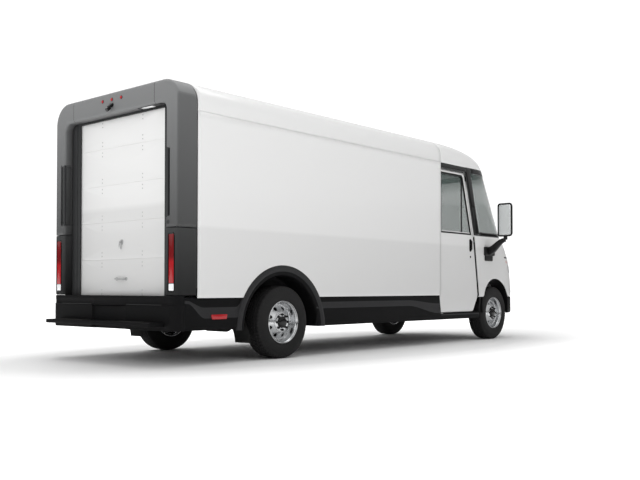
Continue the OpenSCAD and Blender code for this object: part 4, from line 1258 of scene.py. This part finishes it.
        # marker and repeater on the front corners
        skin, small = Skin(), Skin()
        for sign in (1, -1):
            h, y = line(1.165, 1.205, 6), line(-3.27, -3.225, 6)
            a = plan_at(y, np.full(6, 1.18))
            x, yy, z = plan_point(sign * a[None], h[:, None], -0.003)
            skin.add(np.stack([x, yy, z], -1), away=(0, -2.4, 1.1))
            h = line(1.24, 1.262, 4)
            a = plan_at(line(-3.40, -3.15, 12), np.full(12, 1.25))
            x, yy, z = plan_point(sign * a[None], h[:, None], -0.002)
            small.add(np.stack([x, yy, z], -1), away=(0, -2.4, 1.1))
        skin.build("corner_markers", "truck_body", ["marker_pink"], "red_lens", wall=0.003)
        small.build("corner_slits", "truck_body", ["gloss_black"], "cladding_black", wall=0.003)


class TRUCK_OT_cab_doors(TruckOperator, Operator):
    """Builds the sliding cab doors with window seals, glass, handles and keyholes"""
    bl_idname = "truck.cab_doors"
    bl_label = "Cab doors"

    def make(self):
        x1 = D.door_x + 0.012
        gap = 0.003
        lo, hi = D.door_low + 0.002, D.door_top - 0.002
        rear = D.y_open - gap
        knots = [lo, 0.66, D.cowl, hi]
        edge = [float(door_front(k)) + gap for k in knots]
        waist = D.cowl + 0.010
        window = [(D.y_open - 0.045, waist + 0.004), (float(door_front(waist)) + 0.068, waist + 0.004),
                  (float(door_front(D.door_top)) + 0.062, D.door_top - 0.050),
                  (D.y_open - 0.045, D.door_top - 0.050)]
        waist -= 0.020
        for name, sign, body in (("left", 1, "left_cab_door"), ("right", -1, "right_cab_door")):
            skin = Skin()
            # lower panel: rows from the foot to the waist between the two edges
            h = np.concatenate([[lo, lo + 0.006], line(lo + 0.02, waist - 0.02, 30), [waist - 0.006, waist]])
            front = door_front(h) + gap
            s = np.concatenate([[0, 0.006, 0.02], line(0.05, 0.95, 20), [0.98, 0.994, 1.0]])
            y = front[:, None] + s[None] * (rear - front)[:, None]
            rim = np.interp(s, [0, 0.006, 0.02, 0.98, 0.994, 1], [0.008, 0.002, 0, 0, 0.002, 0.008])
            foot = np.interp(h, [lo, lo + 0.006, lo + 0.02], [0.008, 0.002, 0])
            crown = 0.004 * np.sin(math.pi * np.clip((h - lo) / (waist - lo), 0, 1))
            x = x1 - 0.004 - rim[None] - foot[:, None] + crown[:, None]
            skin.add(np.stack([x * sign, y, np.broadcast_to(h[:, None], y.shape)], -1), away=(0, -1.7, 1.2))
            # frame round the glass: four matched corners, outside to inside
            ring_out = np.array([(rear, waist), (float(door_front(waist)) + gap, waist), (edge[3], hi),
                                 (rear, hi)])
            grow = lambda g: np.array(window) + g * np.array([(1, -1), (-1, -1), (-0.6, 1), (1, 1)])
            loops = [ring_out, ring_out * 0.93 + ring_out.mean(0) * 0.07, grow(0.020), grow(0.012)]
            radii = [(0.004, 0.004, 0.03, 0.02)] * 2 + [(0.012, 0.02, 0.04, 0.012)] * 2
            grid = [resampled(np.roll(rounded_loop(lp, rr, 10), -5, 0), 160) for lp, rr in zip(loops, radii)]
            step = [0.008, 0.004, 0.004, 0.010]
            pts = np.stack([np.stack([np.full(160, (x1 - d) * sign), g[:, 0], g[:, 1]], -1) for g,
                            d in zip(grid, step)])
            skin.add(pts, wrap_columns=True, away=(0, -1.7, 2.0))
            skin.build("cab_door_skin_" + name, body, ["body_white"], "body_white", ("cab_door_" + name,),
                       wall=0.012)
            # seal: a black rubber frame standing in the window's edge
            skin = Skin()
            loops = [grow(0.018), grow(0.010), grow(0.0), grow(-0.012), grow(-0.014)]
            step = [0.008, -0.001, -0.002, 0.003, 0.016]
            grid = [resampled(np.roll(rounded_loop(lp, (0.012, 0.02, 0.04, 0.012), 10), -5, 0),
                              160) for lp in loops]
            pts = np.stack([np.stack([np.full(160, (x1 - d) * sign), g[:, 0], g[:, 1]], -1) for g,
                            d in zip(grid, step)])
            skin.add(pts, wrap_columns=True, away=(0, -1.7, 2.0))
            middle = 0.30 * window[0][0] + 0.70 * window[1][0]
            loop = box_loop(middle - 0.011, middle + 0.011, waist + 0.02, D.door_top - 0.055, 0.003)
            a, b = sorted((sign * (x1 - 0.020), sign * (x1 - 0.008)))
            skin.add(slab(loop, "x", a, b, 0.003), wrap_columns=True)
            skin.build("window_seal_" + name, body, ["trim_black"], "trim_black", wall=0.004)
            # glass: a thin pane, slightly bowed
            skin = Skin()
            u, v = line(0, 1, 24), line(0, 1, 24)
            pane = grow(-0.004)
            bottom = pane[0] + u[:, None] * (pane[1] - pane[0])
            roofline = pane[3] + u[:, None] * (pane[2] - pane[3])
            flat = bottom[:, None] + v[None, :, None] * (roofline - bottom)[:, None]
            bow = 0.003 * np.sin(math.pi * u)[:, None] * np.sin(math.pi * v)[None]
            skin.add(np.stack([(x1 - 0.018 + bow) * sign, flat[..., 0], flat[..., 1]], -1),
                     away=(0, -1.7, 2.0))
            skin.build("door_pane_" + name, body, ["cab_glass"], "screen_glass", ("door_glass_" + name,),
                       wall=0.004)
            # handle and keyhole
            skin = Skin()
            y0 = float(door_front(1.40)) + 0.105
            s = line(0, 1, 24)
            out = 0.020 * eased(s / 0.18) * eased((1 - s) / 0.18)
            path = np.stack([(x1 - 0.004 + out) * sign, np.full(24, y0), 1.325 + 0.16 * s], -1)
            loop = rounded_loop([(-0.015, -0.009), (0.015, -0.009), (0.015, 0.009), (-0.015, 0.009)], 0.008,
                                5)
            skin.add(swept(path, loop, (0, 1, 0)), wrap_columns=True)
            rose = [(0, 0.018), (0.004, 0.017), (0.006, 0.012), (0.006, 0)]
            skin.add(turned([(sign * a, b) for a, b in rose], ((x1 - 0.004) * sign, y0, 1.235), "x", 24),
                     wrap_columns=True)
            cup = rounded_loop([(y0 - 0.03, 1.31), (y0 + 0.03, 1.31), (y0 + 0.03, 1.50), (y0 - 0.03, 1.50)],
                               0.028, 8)
            a, b = sorted((sign * (x1 - 0.008), sign * (x1 - 0.0005)))
            skin.add(slab(cup, "x", a, b, 0.003), wrap_columns=True)
            skin.build("door_handle_" + name, body, ["gloss_black"], "trim_black")


class TRUCK_OT_mirrors(TruckOperator, Operator):
    """Builds the mirror arms, housings and glasses"""
    bl_idname = "truck.mirrors"
    bl_label = "Mirrors"

    def make(self):
        arm = Skin()
        for sign, name in ((1, "left"), (-1, "right")):
            low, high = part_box("mirror_" + name)
            cx, z1 = (low.x + high.x) / 2, high.z
            z0 = z1 - MIRROR_H
            y0, y1 = low.y, high.y
            # housing: a rounded box whose back swells away from the glass
            u = line(0, 1, 26)
            loop = resampled(box_loop(-0.1175, 0.1175, -0.25, 0.25, 0.045, 10), 120)
            size = np.sqrt(np.maximum(1 - (1 - u) ** 2.6, 0))
            y = y0 + (y1 - y0 - 0.004) * u
            grid = np.stack([cx + size[:, None] * loop[None, :, 0], np.broadcast_to(y[:, None], (26, 120)),
                             (z0 + z1) / 2 + size[:, None] * loop[None, :, 1]], -1)
            rim = [(0.985, y1), (0.94, y1 - 0.001), (0.925, y1 - 0.006), (0.92, y1 - 0.010),
                   (0.0, y1 - 0.010)]
            front = np.stack([np.stack([cx + k * loop[:, 0], np.full(120, yy),
                                        (z0 + z1) / 2 + k * loop[:, 1]], -1)
                              for k, yy in rim])
            skin = Skin()
            skin.add(np.concatenate([grid, front]), wrap_columns=True,
                     away=(cx, (y0 + y1) / 2, (z0 + z1) / 2))
            s = line(0, 1, 12)
            path = np.stack([np.full(12, cx), np.full(12, -2.555), z0 - 0.045 + 0.06 * s], -1)
            skin.add(swept(path, rounded_loop([(-0.03, -0.03), (0.03, -0.03), (0.03, 0.03), (-0.03, 0.03)],
                                              0.028, 7)
                           * 0.9, (0, 1, 0)), wrap_columns=True)
            skin.build("mirror_housing_" + name, name + "_mirror", ["trim_black"], "trim_black",
                       ("mirror_" + name,))
            # glass: a slightly bulged pane inside the rim
            skin = Skin()
            for a, b, bulge in ((z0 + 0.022, z1 - 0.022, 0.003),):
                pane = resampled(box_loop(cx - 0.098, cx + 0.098, a, b, 0.028, 8), 80)
                mid = np.array([cx, (a + b) / 2])
                k = line(1, 0, 9)[:, None, None]
                flat = mid + (pane[None] - mid) * k
                yy = y1 - 0.0065 + bulge * (1 - k[..., 0] ** 2)
                skin.add(np.stack([flat[..., 0], np.broadcast_to(yy, flat.shape[:2]), flat[..., 1]], -1),
                         wrap_columns=True, away=(cx, y0 - 1, (z0 + z1) / 2))
            skin.build("mirror_glass_" + name, name + "_mirror", ["mirror_glass"], "lamp_lens", wall=0.0015)
            # arm: from the foot on the pillar, out and up to the housing
            s = line(0, 1, 40)
            x = sign * (D.w - 0.004 + (abs(cx) - D.w + 0.004) * (s ** 0.85))
            z = 1.335 + (z0 - 0.050 - 1.335) * eased(s * 1.02)
            y = np.full(40, -2.555) + 0.02 * np.sin(math.pi * s)
            wide = 0.052 - 0.024 * s
            tall = 0.062 - 0.034 * s
            loop = rounded_loop([(-1, -1), (1, -1), (1, 1), (-1, 1)], 0.7, 8)
            arm.add(swept(np.stack([x, y, z], -1), loop[None] * np.stack([wide, tall], -1)[:, None],
                          (0, 0, 1)),
                    wrap_columns=True)
            foot = rounded_loop([(-2.72, 1.265), (-2.43, 1.265), (-2.43, 1.40), (-2.72, 1.40)], 0.02, 8)
            a, b = sorted((sign * (D.w - 0.004), sign * (D.w + 0.030)))
            arm.add(slab(foot, "x", a, b, 0.012, 6), wrap_columns=True)
            foot = rounded_loop([(-2.67, 1.185), (-2.45, 1.185), (-2.45, 1.29), (-2.67, 1.29)], 0.02, 8)
            a, b = sorted((sign * (D.w - 0.004), sign * (D.w + 0.020)))
            arm.add(slab(foot, "x", a, b, 0.008, 6), wrap_columns=True)
        arm.build("mirror_arm_skins", "truck_body", ["trim_black"], "trim_black", ("mirror_arms",))


class TRUCK_OT_wheels(TruckOperator, Operator):
    """Builds the tyres with cut tread, and the rims with hand holes, hubs and nuts"""
    bl_idname = "truck.wheels"
    bl_label = "Wheels"

    def tyre(self, wide):
        """Tyre section (across, radius), then its tread: the radius drops by the groove depth in
        three rings and in slanted cuts between the lugs."""
        s = bpy.context.scene.truck_wheels
        r, rim, h = D.tyre_r, s.rim_radius, wide / 2
        wall = np.array([(h - 0.034, rim - 0.008), (h - 0.020, rim - 0.004), (h - 0.016, rim + 0.006),
                         (h - 0.012, rim + 0.016), (h - 0.004, rim + 0.035), (h - 0.0005, rim + 0.060),
                         (h - 0.0005, rim + 0.085), (h - 0.004, rim + 0.110), (h - 0.010, r - 0.040),
                         (h - 0.016, r - 0.024), (h - 0.022, r - 0.012), (h - 0.030, r - 0.005)])
        inner = line(h - 0.034, 0.0, 26)
        crown = np.stack([inner, r - 0.0045 * (inner / (h - 0.034)) ** 2], -1)
        half = np.concatenate([wall, crown[1:]])
        full = np.concatenate([half, (half * [-1, 1])[::-1][1:]])
        n = 360
        a = line(0, 2 * math.pi, n + 1)[:-1]
        along, radius = full[:, 0][:, None], full[:, 1][:, None]
        tread = eased((radius - (r - 0.030)) / 0.012)
        rings = sum(np.exp(-((along - c) / 0.0045) ** 4) for c in (-0.058, -0.020, 0.020, 0.058))
        turn = a[None] * s.lugs + along * 60.0 * np.sign(along)
        cuts = eased((np.cos(turn) - 0.74) / 0.10) * (np.abs(along) > 0.064)
        sipes = 0.5 * eased((np.cos(turn + 1.5) - 0.80) / 0.1) * (np.abs(along) < 0.054)
        shoulder = eased((radius - (r - 0.055)) / 0.02) * (np.abs(along) > h - 0.03)
        drop = s.groove * np.clip(np.clip(rings, 0, 1) * tread + cuts * np.maximum(tread, shoulder * 0.5)
                                  + sipes * tread, 0, 1)
        ribs = 0.0012 * np.exp(-((radius - (rim + 0.032)) / 0.003) ** 2) + 0.0010 * np.exp(
            -((radius - (r - 0.058)) / 0.003) ** 2)
        return full, a, along, radius, drop, ribs

    def make(self):
        s = bpy.context.scene.truck_wheels
        for place in ("front_left", "front_right", "rear_left", "rear_right"):
            low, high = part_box(place + "_tyre")
            sign = 1 if low.x > 0 else -1
            wide = high.x - low.x
            cx, cy, cz = (low.x + high.x) / 2, (low.y + high.y) / 2, (low.z + high.z) / 2
            _, a, along, radius, drop, ribs = self.tyre(wide)
            rr = radius - drop
            x = cx + (along + ribs * np.sign(along)) + 0 * a[None]
            grid = np.stack([x, cy + rr * np.sin(a)[None], cz + rr * np.cos(a)[None]], -1)
            skin = Skin()
            skin.add(grid, wrap_columns=True, away=None)
            skin.build(place + "_tyre_skin", place + "_wheel", ["tyre_rubber"], "tyre_rubber",
                       (place + "_tyre",),
                       sharp=40)
            self.rim(place, sign, sign * (abs(cx) + wide / 2), cy, cz, wide, s)

    def rim(self, place, sign, face, cy, cz, wide, s):
        """Rim: a turned flange and barrel; a dished disc made of one patch per hand hole, each
        running from the round hole to the edges of its sector; a black hub; and nuts."""
        R = s.rim_radius
        at = lambda depth: face - sign * depth
        skin = Skin()
        prof = [(0.014, R - 0.006), (0.010, R - 0.001), (0.012, R + 0.001), (0.018, R - 0.001),
                (0.024, R - 0.008),
                (0.030, R - 0.014), (0.050, R - 0.018), (0.075, R - 0.021), (0.085, R - 0.026),
                (0.092, R - 0.034)]
        skin.add(turned([(at(d), r) for d, r in prof], (0, cy, cz), "x", 96), wrap_columns=True,
                 away=(face - sign, cy, cz))
        # disc: depth from the face as a function of radius
        rr = np.array([0.060, 0.085, 0.100, 0.112, 0.125, 0.140, 0.160, 0.180, 0.190, R - 0.034])
        dd = np.array([0.034, 0.034, 0.036, 0.043, 0.055, 0.068, 0.084, 0.094, 0.096, 0.093])
        rho_h, r_h = 0.156, 0.0215
        n = s.holes
        half = math.pi / n
        phi = line(0, 2 * math.pi, 49)[:-1]
        box = (R - 0.034 - rho_h, rho_h - 0.112, half * rho_h)
        cosp, sinp = np.cos(phi), np.sin(phi)
        scale = np.minimum(np.where(cosp > 0, box[0], box[1]) / np.maximum(np.abs(cosp), 1e-9),
                           box[2] / np.maximum(np.abs(sinp), 1e-9))
        t = np.concatenate([[0.0, 0.0, 0.02, 0.08], line(0.18, 1, 8)])
        drop = np.array([0.016, 0.003, 0.001, 0.0] + [0.0] * 8)
        reach = r_h + t[:, None] * (scale[None] - r_h)
        reach[1] += 0.0005
        rho = rho_h + reach * cosp[None]
        lean = reach * sinp[None] / rho_h
        depth = np.interp(rho, rr, dd) + drop[:, None]
        for k in range(n):
            ang = lean + 2 * half * k + half
            skin.add(np.stack([np.full_like(rho, at(depth)), cy + rho * np.sin(ang), cz + rho * np.cos(ang)],
                              -1),
                     wrap_columns=True, away=(face - sign, cy, cz))
        ring = [(at(np.interp(r, rr, dd)), r) for r in line(0.112, 0.058, 12)]
        skin.add(turned(ring, (0, cy, cz), "x", 96), wrap_columns=True, away=(face - sign, cy, cz))
        barrel = [(0.092, R - 0.034), (0.11, R - 0.024), (0.15, R - 0.022), (0.20, R - 0.020),
                  (wide - 0.020, R - 0.012),
                  (wide - 0.012, R - 0.001)]
        skin.add(turned([(at(d), r) for d, r in barrel], (0, cy, cz), "x", 72), wrap_columns=True,
                 away=(face - sign, cy, cz))
        skin.build(place + "_rim_skin", place + "_wheel", ["rim_bright"], "rim_bright", (place + "_rim",),
                   weld=2e-4,
                   wall=0.004)
        dark = Skin()
        hub = [(0.040, 0.066), (0.024, 0.064), (0.020, 0.060), (0.014, 0.056), (0.010, 0.048), (0.008, 0.030),
               (0.008, 0.0)]
        dark.add(turned([(at(d), r) for d, r in hub], (0, cy, cz), "x", 48), wrap_columns=True,
                 away=(face - sign * 0.5, cy, cz))
        for k in range(n):
            ang = 2 * half * k
            y, z = cy + 0.084 * math.sin(ang), cz + 0.084 * math.cos(ang)
            nut = [(0.040, 0.0145), (0.030, 0.0145), (0.029, 0.0118), (0.014, 0.0115), (0.011, 0.0085),
                   (0.010, 0.0)]
            dark.add(turned([(at(d), r) for d, r in nut], (0, y, z), "x", 12), wrap_columns=True)
        drum = [(0.110, 0.150), (0.150, 0.165), (0.190, 0.165), (0.20, 0.05)]
        dark.add(turned([(at(0.105), 0.0), (at(0.105), 0.145)] + [(at(d), r) for d, r in drum], (0, cy, cz),
                        "x", 48),
                 wrap_columns=True)
        dark.build(place + "_hub", place + "_wheel", ["gloss_black"], "trim_black")


class TRUCK_OT_interior(TruckOperator, Operator):
    """Builds the driver's seat cushions and the piping round the cushion"""
    bl_idname = "truck.interior"
    bl_label = "Cab interior"

    def pad(self, low, high, name, node):
        """A crowned cushion: a superellipsoid |x|^4 + |y|^4 + |z|^3 = 1 whose sides pull in
        between its corners and whose face has two sewn channels."""
        a, b = line(-math.pi / 2, math.pi / 2, 61), line(0, 2 * math.pi, 97)[:-1]
        power = lambda v, e: np.sign(v) * np.abs(v) ** e
        cx, sx = power(np.cos(a), 0.42)[:, None], power(np.sin(a), 0.5)[:, None]
        x = cx * power(np.cos(b), 0.38)[None]
        y = cx * power(np.sin(b), 0.38)[None]
        z = sx + 0 * x
        middle, size = (np.array(low) + np.array(high)) / 2, (np.array(high) - np.array(low)) / 2
        thin = int(np.argmin(size))
        wide = [k for k in range(3) if k != thin]
        p = np.zeros(x.shape + (3,))
        p[..., wide[0]], p[..., wide[1]], p[..., thin] = x, y, z
        pull = 1 - 0.035 * (1 - np.abs(y) ** 2) * (np.abs(x) > 0.8) - 0.0
        p[..., wide[0]] *= pull
        groove = sum(np.exp(-((x - c) / 0.035) ** 2) for c in (-0.42, 0.42))
        p[..., thin] -= 0.16 * groove * np.sign(z) * (np.abs(z) > 0.4)
        p = middle + p * size
        skin = Skin()
        skin.add(p, wrap_columns=True, away=middle)
        made = skin.build(name, "truck_body", ["seat_fabric"], "seat_fabric", (node,), weld=2e-4, sharp=70)

    def make(self):
        for name, node in (("seat_cushion_pad", "seat_cushion"), ("seat_back_pad", "seat_back")):
            low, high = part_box(node)
            self.pad(tuple(low), tuple(high), name, node)
        # piping round the cushion
        low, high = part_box("seat_cushion")
        loop = resampled(rounded_loop([(low.x + 0.01, low.y + 0.01), (high.x - 0.01, low.y + 0.01),
                                       (high.x - 0.01, high.y - 0.01), (low.x + 0.01, high.y - 0.01)], 0.05,
                                      8), 120)
        q = line(0, 2 * math.pi, 9)[:-1]
        middle = loop.mean(0)
        out = loop - middle
        out /= np.linalg.norm(out, axis=1, keepdims=True)
        ring = loop[:, None] + 0.004 * out[:, None] * np.cos(q)[None, :, None]
        z = (low.z + high.z) / 2 + 0.004 * np.sin(q)[None] + 0 * ring[..., 0]
        skin = Skin()
        skin.add(np.stack([ring[..., 0], ring[..., 1], z], -1), wrap_rows=True, wrap_columns=True)
        skin.build("seat_piping", "truck_body", ["seat_fabric"], "seat_fabric")


def stage_object(name, grid, finish, **turn):
    """Makes one closed band of the stage from a grid of points, in one finish, and links it."""
    skin = Skin()
    skin.add(grid, wrap_columns=True, **turn)
    mesh = bpy.data.meshes.new(name)
    mesh.from_pydata(np.concatenate(skin.points).tolist(), [], np.concatenate(skin.faces).tolist())
    mesh.materials.append(finish.material)
    made = bpy.data.objects.new(name, mesh)
    bpy.context.scene.collection.objects.link(made)
    return made


class TRUCK_OT_studio(TruckOperator, Operator):
    """Makes the pale floor, the soft lights, the surroundings and the camera"""
    bl_idname = "truck.studio"
    bl_label = "Studio"

    def make(self):
        scene = bpy.context.scene
        s = scene.truck_studio
        # floor: a wide disc, radius by ring and angle
        floor = Finish("studio_floor")
        floor.set(base_color=floor.mix(floor.noise(0.4), (0.93, 0.93, 0.93), (0.95, 0.95, 0.95)),
                  roughness=0.55 + floor.noise(2.0) * 0.1)
        a, r = line(0, 2 * math.pi, 97)[:-1], np.array([0.0, 4.0, 12.0, 40.0, 160.0])
        grid = np.stack([r[:, None] * np.cos(a), r[:, None] * np.sin(a), np.full((5, 96), -0.001)], -1)
        # the floor glows, fully far off and not at all close round the truck: painted light that keeps the far
        # floor white
        x, y, _ = floor.axes()
        far = floor.ramp(x * x * 0.30 + y * y * 0.055, 1.1, 4.0)
        floor.set(emission=floor.mix(far, (0.0, 0.0, 0.0), (0.75, 0.75, 0.75)), emission_strength=1.0)
        ground = stage_object("studio_floor", grid, floor, away=(0, 0, -5))
        # a low grey wall far off, seen only in reflections
        wall = Finish("studio_wall")
        wall.set(base_color=(0.0, 0.0, 0.0), roughness=1.0, emission=(0.06, 0.06, 0.06),
                 emission_strength=1.0)
        h = np.array([-0.2, 3.9])
        grid = np.stack([np.broadcast_to(WALL_X * np.cos(a)[None], (2, 96)),
                         np.broadcast_to(WALL_Y * np.sin(a)[None], (2, 96)),
                         np.broadcast_to(h[:, None], (2, 96))], -1)
        ring = stage_object("studio_wall", grid, wall)
        ring.visible_camera = ring.visible_transmission = False
        # backdrop: a bright dome that only the camera sees
        dome = Finish("studio_backdrop")
        dome.set(base_color=(0.0, 0.0, 0.0), roughness=1.0, emission=(1.1, 1.1, 1.1), emission_strength=1.0)
        rise = line(-0.1, math.pi / 2, 13)
        grid = DOME_R * np.stack([np.cos(rise)[:, None] * np.cos(a), np.cos(rise)[:, None] * np.sin(a),
                               np.broadcast_to(np.sin(rise)[:, None], (13, 96))], -1)
        shell = stage_object("studio_backdrop", grid, dome)
        shell.visible_diffuse = shell.visible_glossy = shell.visible_shadow = False

        world = bpy.data.worlds.new("studio_sky")
        world.use_nodes = True
        world.node_tree.nodes["Background"].inputs[0].default_value = (1, 1, 1, 1)
        world.node_tree.nodes["Background"].inputs[1].default_value = s.sky
        scene.world = world
        for name, place, size, power, aim in (
                ("key_above", (1.2, 0.6, 9.0), (5.0, 11.0), s.key, (0, 0, 0)),
                ("rear_fill", (-2.0, 12.0, 5.0), (6.0, 5.0), s.key * 0.45, (0, 3.4, 1.6)),
                ("side_fill", (-9.0, 5.0, 7.0), (6.0, 8.0), s.key * 0.12, (0, 0, 1.2))):
            lamp = bpy.data.lights.new(name, "AREA")
            lamp.shape, lamp.size, lamp.size_y, lamp.energy = "RECTANGLE", size[0], size[1], power
            made = bpy.data.objects.new(name, lamp)
            scene.collection.objects.link(made)
            made.location = place
            made.rotation_euler = (Vector(aim) - Vector(place)).to_track_quat("-Z", "Y").to_euler()
            made.visible_camera = False

        camera = bpy.data.cameras.new("camera")
        camera.lens, camera.sensor_width, camera.shift_y = s.lens, 36.0, s.shift
        camera.clip_end = 500
        made = bpy.data.objects.new("camera", camera)
        scene.collection.objects.link(made)
        made.location = (-7.369, 8.571, 0.771)
        yaw, pitch = 0.715, 0.0209
        ahead = Vector((math.sin(yaw) * math.cos(pitch), -math.cos(yaw) * math.cos(pitch), math.sin(pitch)))
        made.rotation_euler = ahead.to_track_quat("-Z", "Y").to_euler()
        scene.camera = made
        scene.view_settings.view_transform = "Standard"


class TRUCK_PT_panel(Panel):
    """Lists the truck's sizes, colours and building steps"""
    bl_idname = "TRUCK_PT_panel"
    bl_label = "Delivery Truck"
    bl_space_type = "VIEW_3D"
    bl_region_type = "UI"
    bl_category = "Truck"

    def draw(self, context):
        layout = self.layout
        for group in ("truck_skin", "truck_trim", "truck_wheels", "truck_studio"):
            box = layout.box()
            settings = getattr(context.scene, group)
            for name in type(settings).__annotations__:
                box.prop(settings, name)
        for step in OPERATORS:
            layout.operator(step.bl_idname)


SETTINGS = (("truck_skin", TruckSkinSettings), ("truck_trim", TruckTrimSettings),
            ("truck_wheels", TruckWheelSettings), ("truck_studio", TruckStudioSettings))
OPERATORS = (TRUCK_OT_finishes, TRUCK_OT_body, TRUCK_OT_cab, TRUCK_OT_portal, TRUCK_OT_rear_door,
             TRUCK_OT_cladding, TRUCK_OT_lamps, TRUCK_OT_cab_doors, TRUCK_OT_mirrors, TRUCK_OT_wheels,
             TRUCK_OT_interior, TRUCK_OT_studio)


def register():
    for name, group in SETTINGS:
        bpy.utils.register_class(group)
        setattr(bpy.types.Scene, name, PointerProperty(type=group))
    for made in (*OPERATORS, TRUCK_PT_panel):
        bpy.utils.register_class(made)


def unregister():
    for made in (TRUCK_PT_panel, *reversed(OPERATORS)):
        bpy.utils.unregister_class(made)
    for name, group in reversed(SETTINGS):
        delattr(bpy.types.Scene, name)
        bpy.utils.unregister_class(group)


def main():
    register()
    for step in OPERATORS:
        space, name = step.bl_idname.split(".")
        getattr(getattr(bpy.ops, space), name)()


if __name__ == "__main__":
    main()
